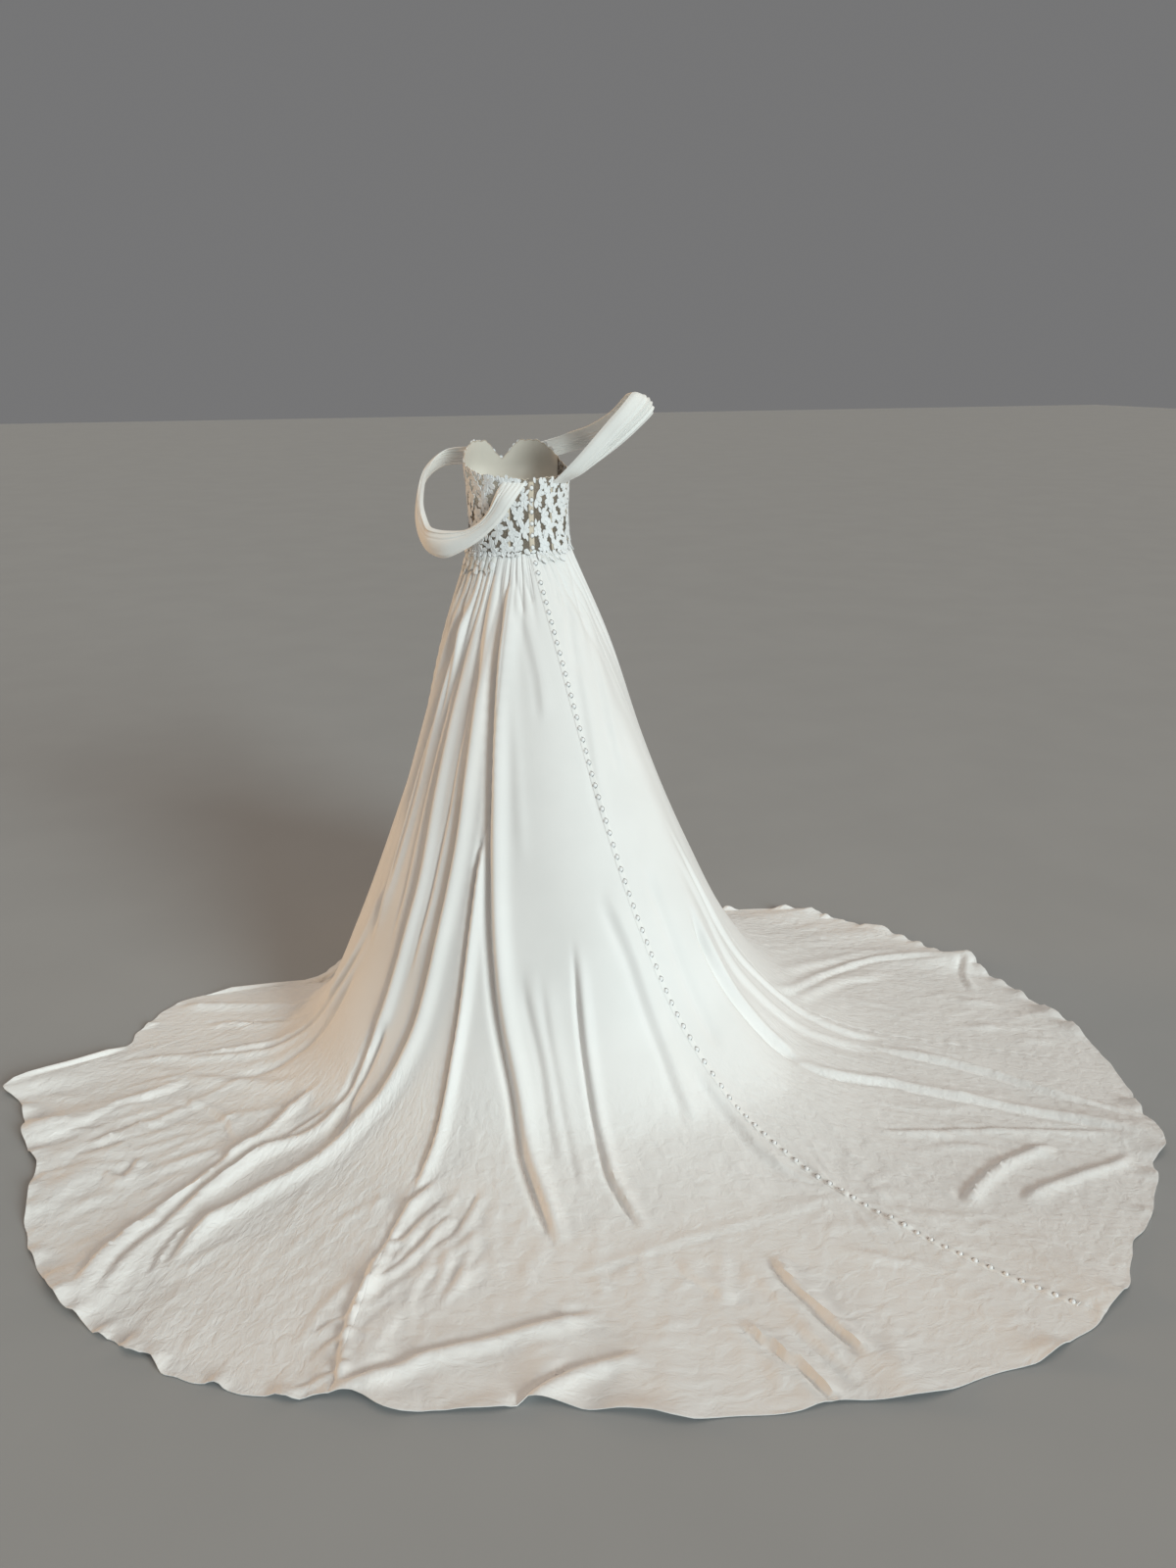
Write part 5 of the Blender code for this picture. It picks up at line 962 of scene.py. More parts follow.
def crepe(name, dark, light, crumpled):
    """Matt crepe: a pebbled grain of fine threads, and small creases where it lies on the floor."""
    material, tree, shader = new_material(name, 0.66, specular=0.28, sheen=0.18)
    place = tree.nodes.new("ShaderNodeTexCoord")
    mottled(tree, shader, dark, light, 7.0, place.outputs["Object"])
    grain = add_node(tree, "ShaderNodeTexNoise", Scale=950.0, Detail=2.0, Roughness=0.6)
    tree.links.new(place.outputs["Object"], grain.inputs["Vector"])
    normal = add_bump(tree, shader, grain.outputs["Fac"], 0.35, 0.00025)
    if crumpled:
        stretch = add_node(tree, "ShaderNodeMapping", Scale=(1.0, 0.75, 1.0))
        tree.links.new(place.outputs["UV"], stretch.inputs["Vector"])
        wrinkles = add_node(tree, "ShaderNodeTexNoise", Scale=50.0, Detail=3.5, Roughness=0.55,
                            Distortion=0.6)
        tree.links.new(stretch.outputs["Vector"], wrinkles.inputs["Vector"])
        parts = tree.nodes.new("ShaderNodeSeparateXYZ")
        tree.links.new(place.outputs["Object"], parts.inputs["Vector"])
        low = add_node(tree, "ShaderNodeMapRange", interpolation_type="SMOOTHSTEP")
        for key, value in (("From Min", FLOOR + 0.20), ("From Max", FLOOR + 0.02),
                           ("To Min", 0.04), ("To Max", 1.0)):
            low.inputs[key].default_value = value
        tree.links.new(parts.outputs["Z"], low.inputs["Value"])
        lowered = add_node(tree, "ShaderNodeMath", operation="MULTIPLY")
        tree.links.new(wrinkles.outputs["Fac"], lowered.inputs[0])
        tree.links.new(low.outputs["Result"], lowered.inputs[1])
        add_bump(tree, shader, lowered.outputs["Value"], 0.55, 0.0060, normal)
    return material


def thread_lace(name, dark, light):
    """Corded lace: satin stitches that lie across each petal, from its own coordinates."""
    material, tree, shader = new_material(name, 0.55, specular=0.35, sheen=0.2)
    place = tree.nodes.new("ShaderNodeTexCoord")
    mottled(tree, shader, dark, light, 60.0, place.outputs["Object"])
    stitches = add_node(tree, "ShaderNodeTexWave", wave_type="BANDS", bands_direction="X",
                        Scale=420.0, Distortion=1.5, Detail=1.0)
    tree.links.new(place.outputs["UV"], stitches.inputs["Vector"])
    normal = add_bump(tree, shader, stitches.outputs["Fac"], 0.45, 0.00035)
    twist = add_node(tree, "ShaderNodeTexNoise", Scale=900.0, Detail=2.0)
    tree.links.new(place.outputs["Object"], twist.inputs["Vector"])
    add_bump(tree, shader, twist.outputs["Fac"], 0.35, 0.0003, normal)
    return material


def nude_net(name, colour, cover):
    """Fine net that lets part of what is behind it show."""
    material, tree, shader = new_material(name, 0.8, specular=0.1)
    shader.inputs["Base Color"].default_value = (*colour, 1)
    shader.inputs["Alpha"].default_value = cover
    place = tree.nodes.new("ShaderNodeTexCoord").outputs["Object"]
    mesh = add_node(tree, "ShaderNodeTexVoronoi", Scale=900.0)
    tree.links.new(place, mesh.inputs["Vector"])
    add_bump(tree, shader, mesh.outputs["Distance"], 0.4, 0.0003)
    return material


def make_materials():
    """All materials of the dress, by a short name."""
    return {
        "crepe": crepe("crepe", (0.795, 0.785, 0.77), (0.825, 0.815, 0.80), True),
        "swag": crepe("swag_crepe", (0.82, 0.805, 0.775), (0.85, 0.835, 0.805), False),
        "lining": crepe("lining", (0.70, 0.64, 0.56), (0.73, 0.67, 0.59), False),
        "lace": thread_lace("corded_lace", (0.82, 0.82, 0.82), (0.87, 0.87, 0.87)),
        # the bodice's net: its nude tone darkened with painted shade of the hollow inside that
        # shows through its gaps
        "net": nude_net("nude_net", (0.30, 0.25, 0.20), 0.42),
        "fine_net": nude_net("fine_net", (0.82, 0.81, 0.78), 0.85),
        "tape": crepe("tape", (0.62, 0.53, 0.42), (0.68, 0.59, 0.48), False),
        "button": crepe("placket_crepe", (0.82, 0.81, 0.79), (0.86, 0.85, 0.83), False),
        "satin": crepe("button_satin", (0.84, 0.84, 0.84), (0.88, 0.88, 0.88), False),
        # the loops' dark grey is partly their cord and partly painted shade: it stands in for the
        # shadow beside each button
        "loop": crepe("loop_cord_painted_shade", (0.30, 0.295, 0.29), (0.36, 0.35, 0.34), False),
    }


# ---------------------------------------------------------------- small forms of the skirt
def small_gathers():
    """Small gathers as rows of the GATHERS table, from SMALL_GATHERS."""
    random = np.random.default_rng(GATHER_SEED)
    rows = []
    for start, end, apart, depth, length in SMALL_GATHERS:
        for direction in np.arange(start + apart / 2, end, apart):
            rows.append((direction + random.uniform(-0.3, 0.3) * apart,
                         depth * random.uniform(0.5, 1.4),
                         SMALL_GATHER_HALF * random.uniform(0.8, 1.4),
                         length * random.uniform(0.35, 1.5)))
    return rows


def ridge(points, middle, turn, height, reach, half, bend=0.0):
    """A short straight or bent ridge, seen from above at `middle` and turned by `turn` degrees."""
    turn = math.radians(turn)
    x, y = points[..., 0] - middle[0], points[..., 1] - middle[1]
    run = x * math.sin(turn) + y * math.cos(turn)
    off = x * math.cos(turn) - y * math.sin(turn) + bend * run * run
    return height * np.exp(-(run / reach) ** 2 - (off / half) ** 2)


def creases(points):
    """Short creases in their patches, and the star of pulled cloth at a button."""
    random = np.random.default_rng(CREASE_SEED)
    move = np.zeros(points.shape[:-1])
    for _, middle, long, wide, heading, count, height, reach, half in CREASES:
        turn = math.radians(heading)
        for _ in range(count):
            ahead, aside = long * random.uniform(-1, 1), wide * random.uniform(-1, 1)
            spot = (middle[0] + ahead * math.sin(turn) + aside * math.cos(turn),
                    middle[1] + ahead * math.cos(turn) - aside * math.sin(turn))
            grown = random.uniform(0.6, 1.35)
            move += ridge(points, spot, heading + random.normal(0, CREASE_TURN),
                          height * random.uniform(0.5, 1.3), reach * grown,
                          half * random.uniform(0.8, 1.25), random.uniform(-3, 3))
    for ray in range(STAR["rays"]):
        heading = 360 * ray / STAR["rays"] + random.uniform(-9, 9)
        reach = STAR["reach"] * random.uniform(0.4, 0.7)
        turn = math.radians(heading)
        spot = (STAR["middle"][0] + 0.75 * reach * math.sin(turn),
                STAR["middle"][1] + 0.75 * reach * math.cos(turn))
        move += ridge(points, spot, heading, STAR["height"], 0.6 * reach, STAR["half"])
    return move


def noise_field(u, v, w):
    """Smooth noise, from three coordinates that are each an array like `u` or one value."""
    spots = zip(*(np.broadcast_to(axis, u.shape).ravel() for axis in (u, v, w)))
    return np.array([noise.noise(spot) for spot in spots]).reshape(u.shape)


def near_floor(height):
    """Rises from 0 at CRUMPLE_FROM above the floor to 1 on it."""
    return smooth_step((FLOOR + CRUMPLE_FROM - height) / CRUMPLE_FROM)


def crumple(direction, run, height):
    """Small unevenness of cloth that lies on the floor, drawn out along its threads."""
    rise = noise_field(direction / CRUMPLE_ACROSS, run / CRUMPLE_ALONG, 0.0)
    return CRUMPLE * near_floor(height) * np.abs(rise) * 2.0


def seam_form(direction, run, degree):
    """The dip along each seam and the puckers beside it; `degree` is the length of one degree."""
    move = np.zeros_like(run)
    for name, seam in SEAMS.items():
        away = np.abs(wrapped(direction - seam)) * degree
        beat = BUTTON_PITCH if name == "centre_back" else PUCKER_LENGTH
        wave = np.sin(2 * math.pi * run / beat + 2.0 * np.sin(run * 5.3 + seam))
        drawn = smooth_step(run / PUCKER_FULL)
        if name != "centre_back":
            move -= SEAM_DIP * np.exp(-(away / SEAM_DIP_HALF) ** 2)
        else:
            drawn = drawn * smooth_step((run - BUTTON_PUCKERS) / BUTTON_PUCKERS_GROW)
        move += PUCKER * drawn * wave * np.exp(-(away / PUCKER_HALF) ** 2)
    return move


def hem_ruffle(direction, from_hem, height):
    """How far the hem's edge stands up in small uneven waves where it lies on the floor."""
    rise = np.clip(noise_field(direction / RUFFLE_TURN, *RUFFLE_PLACE) * RUFFLE_GAIN, 0.0, 1.0)
    return RUFFLE * near_floor(height) * rise * np.exp(-(from_hem / RUFFLE_WIDTH) ** 2)


def hem_wander(direction, from_hem):
    """How far the hem's edge runs in and out in small uneven waves."""
    aside = noise_field(direction / RUFFLE_TURN, *WANDER_PLACE)
    return HEM_WANDER * aside * np.exp(-(from_hem / RUFFLE_WIDTH) ** 2)


def soft_floor(height):
    """Heights kept above the floor, rounded off where they meet it."""
    above = height - FLOOR - FLOOR_SINK * FLOOR_SOFT
    return FLOOR + 0.5 * (above + np.sqrt(above ** 2 + FLOOR_SOFT ** 2))


def cloth_points(direction, share):
    """Points of the skirt's inner side with all its folds, and how far each is below the waist."""
    base, run = plain_skirt(direction, share)
    across, down = probe(plain_points, direction, share)
    normal = unit(np.cross(across, down))
    move = -gather_depth(direction, run, GATHERS) - gather_depth(direction, run, small_gathers())
    for fold in FOLDS + FOLDS_SMALL:
        move += fold_height(base, fold) * smooth_step(run / FOLD_START)
    move += creases(base) + crumple(direction, run, base[..., 2])
    move += seam_form(direction, run, np.linalg.norm(across, axis=-1))
    points = base + normal * move[..., None]
    from_hem = np.maximum((1.0 - share) * thread_length(0.0), 0.0)
    points[..., 2] += hem_ruffle(direction, from_hem, base[..., 2])
    outwards = unit(base[..., :2])
    points[..., :2] += outwards * hem_wander(direction, from_hem)[..., None]
    points[..., 2] = np.minimum(soft_floor(points[..., 2]), 0.0)
    return points, run


def graded(count):
    """Shares from 0 to 1 with small cells at both ends."""
    nearest = np.minimum(np.arange(count), np.arange(count)[::-1])
    cells = np.minimum(1.0, EDGE_CELL + EDGE_GROWTH * nearest)
    return np.concatenate([[0.0], np.cumsum(cells)]) / cells.sum()


def row_shares():
    """Shares of the length at which rows lie, closer at the waist and the hem."""
    even = graded(ROW_COUNT)
    return even - ROW_PULL * np.sin(2 * math.pi * even) / (2 * math.pi)


def panel_grids(start, end, cell):
    """Outer and inner points of a panel and its surface coordinates, a row for each column."""
    span = (end - start) % 360.0
    count = round(span / cell)
    shares = row_shares()
    directions = start + span * graded(count)
    beyond = directions[1] - directions[0]
    directions = np.concatenate([[start - beyond], directions, [start + span + beyond]])
    direction, share = np.meshgrid(directions, shares, indexing="ij")
    across, _ = probe(plain_points, direction, share)
    inset = SEAM_GAP / 2 / np.linalg.norm(across, axis=-1)
    direction[1] += inset[1]
    direction[-2] -= inset[-2]
    points, run = cloth_points(direction, share)
    normal = unit(np.cross(np.gradient(points, axis=0), np.gradient(points, axis=1)))
    whole = run[:, -1:]
    hem = HEM_THICK * smooth_step(2.0 - 2.0 * (whole - run) / HEM_FOLD)
    outer = points + normal * (CREPE + hem)[..., None]
    inner = points + normal * (CREPE - CLOTH)
    outer[:, 0, 2] = inner[:, 0, 2] = 0.0
    chart = np.stack([direction * FLAT_DEGREE, run], -1)
    return [grid[1:-1] for grid in (outer, inner, chart)]


# ---------------------------------------------------------------- meshes
def add_mesh(name, points, faces, material, chart=None):
    """An object from points, faces and, if given, surface coordinates of each point."""
    mesh = bpy.data.meshes.new(name)
    mesh.from_pydata(np.asarray(points).tolist(), [], [list(face) for face in faces])
    if chart is not None:
        layer = mesh.uv_layers.new(name="threads")
        corners = np.zeros(len(mesh.loops), int)
        mesh.loops.foreach_get("vertex_index", corners)
        layer.data.foreach_set("uv", np.asarray(chart, float)[corners].ravel())
    mesh.polygons.foreach_set("use_smooth", np.ones(len(mesh.polygons), bool))
    mesh.materials.append(material)
    piece = new_object(name, mesh)
    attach(piece, BODY)
    return piece


def wall_faces(columns, rows):
    """Faces of a closed wall between an outer and an inner grid, both with rows going down."""
    index = np.arange(columns * rows).reshape(columns, rows)
    front = np.stack([index[:-1, :-1], index[1:, :-1], index[1:, 1:], index[:-1, 1:]], -1)
    front = front.reshape(-1, 4)
    back = front[:, ::-1] + columns * rows
    rim = np.concatenate([index[:, 0], index[-1, 1:], index[-2::-1, -1], index[0, -2:0:-1]])
    following = np.roll(rim, -1)
    half = columns * rows
    edge = np.stack([rim, rim + half, following + half, following], -1)
    return np.concatenate([front, back, edge])


def add_wall(name, outer, inner, material, chart=None):
    """A closed thin wall between two grids of points."""
    columns, rows = outer.shape[:2]
    points = np.concatenate([outer.reshape(-1, 3), inner.reshape(-1, 3)])
    if chart is not None:
        chart = np.concatenate([chart.reshape(-1, 2)] * 2)
    piece = add_mesh(name, points, wall_faces(columns, rows), material, chart)
    piece.data.set_sharp_from_angle(angle=math.radians(SEAM_ANGLE))
    return piece


def sheet_area(grid):
    """Area of one side of a grid of points."""
    across, down = np.diff(grid[:, :-1], axis=0), np.diff(grid[:-1], axis=1)
    return float(np.linalg.norm(np.cross(across, down), axis=-1).sum())


def declare(grid, node):
    """Hides the node's solid and prints how large its cloth was cut, and its area."""
    area = sheet_area(grid)
    lengths = np.linalg.norm(np.diff(grid, axis=1), axis=-1).sum(1)
    widths = np.linalg.norm(np.diff(grid, axis=0), axis=-1).sum(0)
    width, length = float(widths.max()), float(lengths.max())
    width = min(max(width, area / length), area / (0.31 * length))
    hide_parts(node)
    print(f"cut of {node}: {width:.2f} x {length:.2f} m, {area:.3f} m2")


def make_skirt(materials):
    """The five panels of the skirt."""
    for node, start, end in PANELS:
        outer, inner, chart = panel_grids(SEAMS[start], SEAMS[end], CELLS[node])
        panel = add_wall("cloth_" + node, outer, inner, materials["crepe"], chart)
        declare(outer, node)


# ---------------------------------------------------------------- plackets and buttons
def ring_faces(rings, sides):
    """Faces between rings of points that follow each other, with `sides` points in each."""
    faces = []
    for ring in range(rings - 1):
        for side in range(sides):
            a, b = ring * sides + side, ring * sides + (side + 1) % sides
            faces.append((a, b, b + sides, a + sides))
    return faces


def dome(centre, down, across, normal, turn):
    """Points and faces of one covered button: a low dome with a rolled edge on a short foot."""
    points = []
    for radius, height in DOME:
        for side in range(DOME_SIDES):
            angle = 2 * math.pi * side / DOME_SIDES + turn
            gather = 1.0 + BUTTON_GATHER * math.cos(BUTTON_GATHERS * angle)
            points.append(centre + BUTTON_RADIUS * radius * gather * (math.cos(angle) * down
                          + math.sin(angle) * across) + BUTTON_HEIGHT * height * normal)
    points.append(centre + BUTTON_HEIGHT * normal)
    faces = ring_faces(len(DOME), DOME_SIDES)
    last = (len(DOME) - 1) * DOME_SIDES
    for side in range(DOME_SIDES):
        faces.append((last + side, last + (side + 1) % DOME_SIDES, len(points) - 1))
    faces.append(tuple(range(DOME_SIDES))[::-1])
    return points, faces


def loop(centre, down, across, normal):
    """Points and faces of the cord loop that holds a button, from the placket's edge round it."""
    line = []
    for step in range(LOOP_STEPS + 1):
        t = step / LOOP_STEPS
        angle = math.pi * (t - 0.5) * LOOP_TURN
        reach = BUTTON_RADIUS * (LOOP_REACH + LOOP_SPREAD * (2 * abs(t - 0.5)) ** 3)
        line.append(centre + reach * (math.cos(angle) * across + math.sin(angle) * down)
                    + LOOP_LIFT * normal)
    return tube(line, LOOP_RADIUS, CORD_SIDES)


def tube(line, radius, sides):
    """Points and faces of a closed round cord along a line."""
    line = np.array(line)
    heading = unit(np.gradient(line, axis=0))
    side = unit(np.cross(heading, heading[len(line) // 2] + np.array((0.31, 0.17, 0.93))))
    other = np.cross(heading, side)
    points = []
    for centre, one, two in zip(line, side, other):
        for corner in range(sides):
            angle = 2 * math.pi * corner / sides
            points.append(centre + radius * (math.cos(angle) * one + math.sin(angle) * two))
    faces = ring_faces(len(line), sides)
    faces.append(tuple(range(sides))[::-1])
    faces.append(tuple(len(points) - sides + corner for corner in range(sides)))
    return points, faces


def joined(parts):
    """Several (points, faces) as one."""
    points, faces, count = [], [], 0
    for part_points, part_faces in parts:
        points += list(part_points)
        faces += [[count + i for i in face] for face in part_faces]
        count += len(part_points)
    return points, faces


def add_placket(name, node, surface, ends, centres, material, small_materials):
    """A soft strip with its buttons and loops; `surface` gives (points, normals) at metres to the
    wearer's left of the centre back and metres along it."""
    across = np.linspace(PLACKET_HALF, -PLACKET_HALF, PLACKET_COLUMNS)[::-1]
    runs = np.arange(ends[0], ends[1], PLACKET_STEP)
    beside, run = np.meshgrid(across, runs, indexing="ij")
    points, normal = surface(beside, run)
    edge = np.abs(beside) / PLACKET_HALF
    ripple = PLACKET_RIPPLE * edge ** 2 * np.sin(2 * math.pi * run / (BUTTON_PITCH / 2))
    thick = PLACKET * (1.0 - edge ** 8) + ripple
    outer = points + normal * (LAY_GAP + np.maximum(thick, 0.0002))[..., None]
    inner = points + normal * LAY_GAP / 4
    strip = add_wall(name, outer, inner, material)
    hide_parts(node)

    domes, loops = [], []
    level = np.zeros_like(centres)
    spots, normals = surface(level, centres)
    ahead = unit(surface(level, centres + PROBE_LENGTH)[0] - spots)
    for index, (spot, up, down) in enumerate(zip(spots, normals, ahead)):
        right = np.cross(up, down)
        foot = spot + up * (LAY_GAP + PLACKET * 0.9)
        domes.append(dome(foot, down, right, up, 0.7 * index))
        loops.append(loop(foot, down, right, up))
    # the loop pieces carry the dark grey that is partly painted shade beside the buttons
    for end, parts, small in zip(("_buttons", "_loops_painted_shade"), (domes, loops), small_materials):
        points, faces = joined(parts)
        piece = add_mesh(name + end, points, faces, small)
        piece.data.set_sharp_from_angle(angle=math.radians(SEAM_ANGLE))


def centre_back(beside, run):
    """Points and normals of the skirt's outer side near the centre back seam."""
    length = thread_length(0.0)
    share = np.clip(run / length, 0.0, 1.0)
    across, _ = probe(plain_points, np.zeros_like(share), share)
    degree = np.linalg.norm(across, axis=-1)
    direction = beside / degree
    step_a, step_b = PROBE_LENGTH / degree, PROBE_LENGTH / length
    points, _ = cloth_points(direction, share)
    wide = (cloth_points(direction + step_a, share)[0] - cloth_points(direction - step_a, share)[0])
    down = (cloth_points(direction, np.minimum(share + step_b, 1.0))[0]
            - cloth_points(direction, np.maximum(share - step_b, 0.0))[0])
    normal = unit(np.cross(wide, down))
    return points + normal * CREPE, normal


def make_skirt_placket(materials):
    """The strip with buttons down the skirt."""
    end = thread_length(0.0) * PLACKET_END
    count = int((end - PLACKET_TOP) / BUTTON_PITCH)
    centres = PLACKET_TOP + BUTTON_PITCH * (np.arange(count) + 0.5)
    add_placket("placket_strip_skirt", "skirt_placket", centre_back,
                (PLACKET_TOP, PLACKET_TOP + BUTTON_PITCH * count), centres, materials["button"],
                (materials["satin"], materials["loop"]))
    print("skirt buttons", count)


def bodice_back(beside, run):
    """Points and normals of the bodice's outer side near the centre back; run is from the top."""
    height = bodice_placket_top() - run
    points = bodice_point(beside / LACE_SCALE, height)
    wide = bodice_point(beside / LACE_SCALE + 1.0, height) - points
    down = bodice_point(beside / LACE_SCALE, height - PROBE_LENGTH) - points
    normal = unit(np.cross(wide, down))
    return points + normal * STRIP_LIFT, normal


def bodice_placket_top():
    """Height of the top of the bodice's button strip."""
    return float(neckline(0.0)) - BODICE_PLACKET_TOP


def make_bodice_placket(materials):
    """The strip with buttons between the two backs."""
    top = bodice_placket_top()
    count = round((top - BODICE_BASE) / BUTTON_PITCH)
    pitch = (top - BODICE_BASE) / count
    add_placket("placket_strip_bodice", "bodice_placket", bodice_back, (0.0, top - BODICE_BASE),
                pitch * (np.arange(count) + 0.5), materials["tape"],
                (materials["satin"], materials["loop"]))
    print("bodice buttons", count)


# ---------------------------------------------------------------- lace: petals, leaves, stems
def motif(root, heading, length, width, kind, lift):
    """One petal or leaf of the flat lace: points (x, z, height) and surface coordinates.

    `kind` gives where it is widest, how blunt its tip is and how far it bends, in radians.
    """
    widest, blunt, bend = kind
    along = np.array(MOTIF_ALONG)[:, None]
    across = np.array(MOTIF_ACROSS)[None, :]
    reach = np.where(along < widest, along / widest, (1 - along) / (1 - widest))
    half = 0.5 * width * (MOTIF_END + (1 - MOTIF_END) * np.sin(0.5 * math.pi * reach) ** blunt)
    turned = heading + bend * (along - 0.3)
    x = root[0] + length * along * np.cos(turned) - half * across * np.sin(turned)
    z = root[1] + length * along * np.sin(turned) + half * across * np.cos(turned)
    cord = MOTIF_CORD * np.exp(-((np.abs(across) - CORD_PLACE) / CORD_HALF) ** 2)
    vein = MOTIF_VEIN * np.exp(-(across / VEIN_HALF) ** 2) * (1 - along)
    cup = MOTIF_DOME * (1 - across ** 2) * np.sin(math.pi * along)
    curl = MOTIF_CURL * along ** 2 * (0.4 + 0.6 * across ** 2)
    edge = np.abs(across) >= 1.0
    height = lift + MOTIF_THICK + cord + vein + cup + curl - 0.5 * MOTIF_THICK * edge
    top = np.stack(np.broadcast_arrays(x, z, height), -1)
    chart = np.stack(np.broadcast_arrays(length * along, half * across), -1)
    return top, chart


def motif_faces():
    """Faces of a closed motif: its grid on top, its rim and a plain underside."""
    columns, rows = len(MOTIF_ACROSS), len(MOTIF_ALONG)
    index = np.arange(rows * columns).reshape(rows, columns)
    faces = np.stack([index[:-1, :-1], index[1:, :-1], index[1:, 1:], index[:-1, 1:]], -1)
    faces = [list(face) for face in faces.reshape(-1, 4)]
    rim = np.concatenate([index[0, :], index[1:, -1], index[-1, -2::-1], index[-2:0:-1, 0]])
    first = rows * columns
    under = {int(point): first + i for i, point in enumerate(rim)}
    for here, there in zip(rim, np.roll(rim, -1)):
        faces.append([int(here), int(there), under[int(there)], under[int(here)]])
    for row in range(1, rows - 2):
        a, b = under[int(index[row, 0])], under[int(index[row, -1])]
        c, d = under[int(index[row + 1, -1])], under[int(index[row + 1, 0])]
        faces.append([a, b, c, d])
    low = [under[int(i)] for i in index[0, :]] + [under[int(index[1, -1])], under[int(index[1, 0])]]
    high = [under[int(i)] for i in index[-1, ::-1]]
    high += [under[int(index[-2, 0])], under[int(index[-2, -1])]]
    # the flat lace is seen from inside, so that faces turn outwards when they are reversed
    return [face[::-1] for face in faces + [low, high]], rim


def add_motifs(name, motifs, surface, material):
    """Motifs as one object; `surface` maps (x, z, height) of the flat lace to its place."""
    faces, rim = motif_faces()
    flat, charts, every = [], [], []
    count = 0
    for one in motifs:
        top, chart = motif(*one)
        top, chart = top.reshape(-1, 3), chart.reshape(-1, 2)
        under = top[rim].copy()
        under[:, 2] = one[-1]
        flat += [top, under]
        charts += [chart, chart[rim]]
        every += [[count + int(i) for i in face] for face in faces]
        count += len(top) + len(rim)
    flat = np.concatenate(flat)
    place = surface(flat[:, 0], flat[:, 1], flat[:, 2])
    piece = add_mesh(name, place, every, material, np.concatenate(charts))
    piece.data.set_sharp_from_angle(angle=math.radians(SEAM_ANGLE))
    return piece


def gap_reach(gaps, x, z):
    """How deep a spot lies in the nearest gap: below 1 is inside it."""
    away = wrapped(x - gaps[:, 0], LACE_GIRTH)
    side = np.abs(wrapped(gaps[:, 0] / LACE_SCALE))
    narrow = np.interp(side, GAP_NARROWS[0], GAP_NARROWS[1])
    across, up = away / (gaps[:, 2] * narrow), (z - gaps[:, 1]) / (gaps[:, 3] * narrow)
    return float(np.hypot(across, up).min())


def free_length(gaps, root, heading, wanted, from_length, half):
    """How long a motif may be before its tip or sides run into a gap or off the lace."""
    last = 0.0
    for step in range(1, FIT_STEPS + 1):
        run = from_length + (wanted - from_length) * step / FIT_STEPS
        x, z = root[0] + run * math.cos(heading), root[1] + run * math.sin(heading)
        if in_cups(x, z):
            last = run
            continue
        beside = 0.5 * half
        spots = ((x, z), (x - beside * math.sin(heading), z + beside * math.cos(heading)),
                 (x + beside * math.sin(heading), z - beside * math.cos(heading)))
        if any(gap_reach(gaps, sx, sz) < 1.0 for sx, sz in spots):
            break
        last = run
    return last


def in_cups(x, z):
    """Whether a spot of the flat lace belongs to the cups, which have no gaps."""
    return abs(wrapped(x / LACE_SCALE)) > CUPS_FROM and z > OPEN_BELOW


def on_lace(x, z):
    """Whether a motif may have its root here: on the lace and off the placket."""
    beside = abs(wrapped(x, LACE_GIRTH))
    return 0.001 < z < float(neckline(x / LACE_SCALE)) - 0.002 and beside > PLACKET_KEEP


def fitted(width, length, rule):
    """Width of a motif that may have been kept short."""
    start, full = rule
    return width * min(1.0, start + length / full)


def lace_motifs():
    """The motifs of the bodice: flowers at their places in the rows, leaves between them."""
    flowers, gaps = lace_layout()
    random = np.random.default_rng(LACE_SEED)
    motifs, knobs = [], []
    for length, height, radius, turn in flowers:
        if not on_lace(length, height):
            continue
        knobs.append((length, height))
        for petal in range(FLOWER_PETALS):
            heading = turn + 2 * math.pi * petal / FLOWER_PETALS + random.normal(0, 0.10)
            wanted = radius * PETAL_REACH * random.uniform(0.90, 1.12)
            fit = free_length(gaps, (length, height), heading, wanted, 0.004, 0.5 * PETAL_WIDTH)
            if fit > SHORTEST_MOTIF:
                motifs.append(((length, height), heading, fit, fitted(PETAL_WIDTH, fit, PETAL_FIT),
                               ROUND_PETAL, LAYER * (petal % 2) + 2.2 * LAYER))
        for leaf in range(LEAVES_PER_FLOWER):
            heading = turn + 2 * math.pi * (leaf + 0.5) / LEAVES_PER_FLOWER + random.normal(0, 0.25)
            root = (length + LEAF_ROOT * math.cos(heading), height + LEAF_ROOT * math.sin(heading))
            wanted = LEAF_LENGTH * random.uniform(0.75, 1.2)
            fit = free_length(gaps, root, heading, wanted, 0.003, 0.5 * LEAF_WIDTH)
            if fit > SHORTEST_MOTIF and on_lace(*root):
                motifs.append((root, heading, fit, fitted(LEAF_WIDTH, fit, LEAF_FIT),
                               (0.42, 1.0, random.uniform(-0.5, 0.5)), LAYER * (leaf % 3) * 0.6))
    kept = []
    for one in motifs:
        (x, z), heading, length = one[:3]
        tip_x, tip_z = x + length * math.cos(heading), z + length * math.sin(heading)
        tip_side = abs(wrapped(tip_x, LACE_GIRTH))
        top = float(neckline(tip_x / LACE_SCALE)) + TIP_OVER
        if tip_z < top and tip_z > -0.001 and tip_side > PLACKET_KEEP * 0.7:
            kept.append(one)
    return kept, knobs


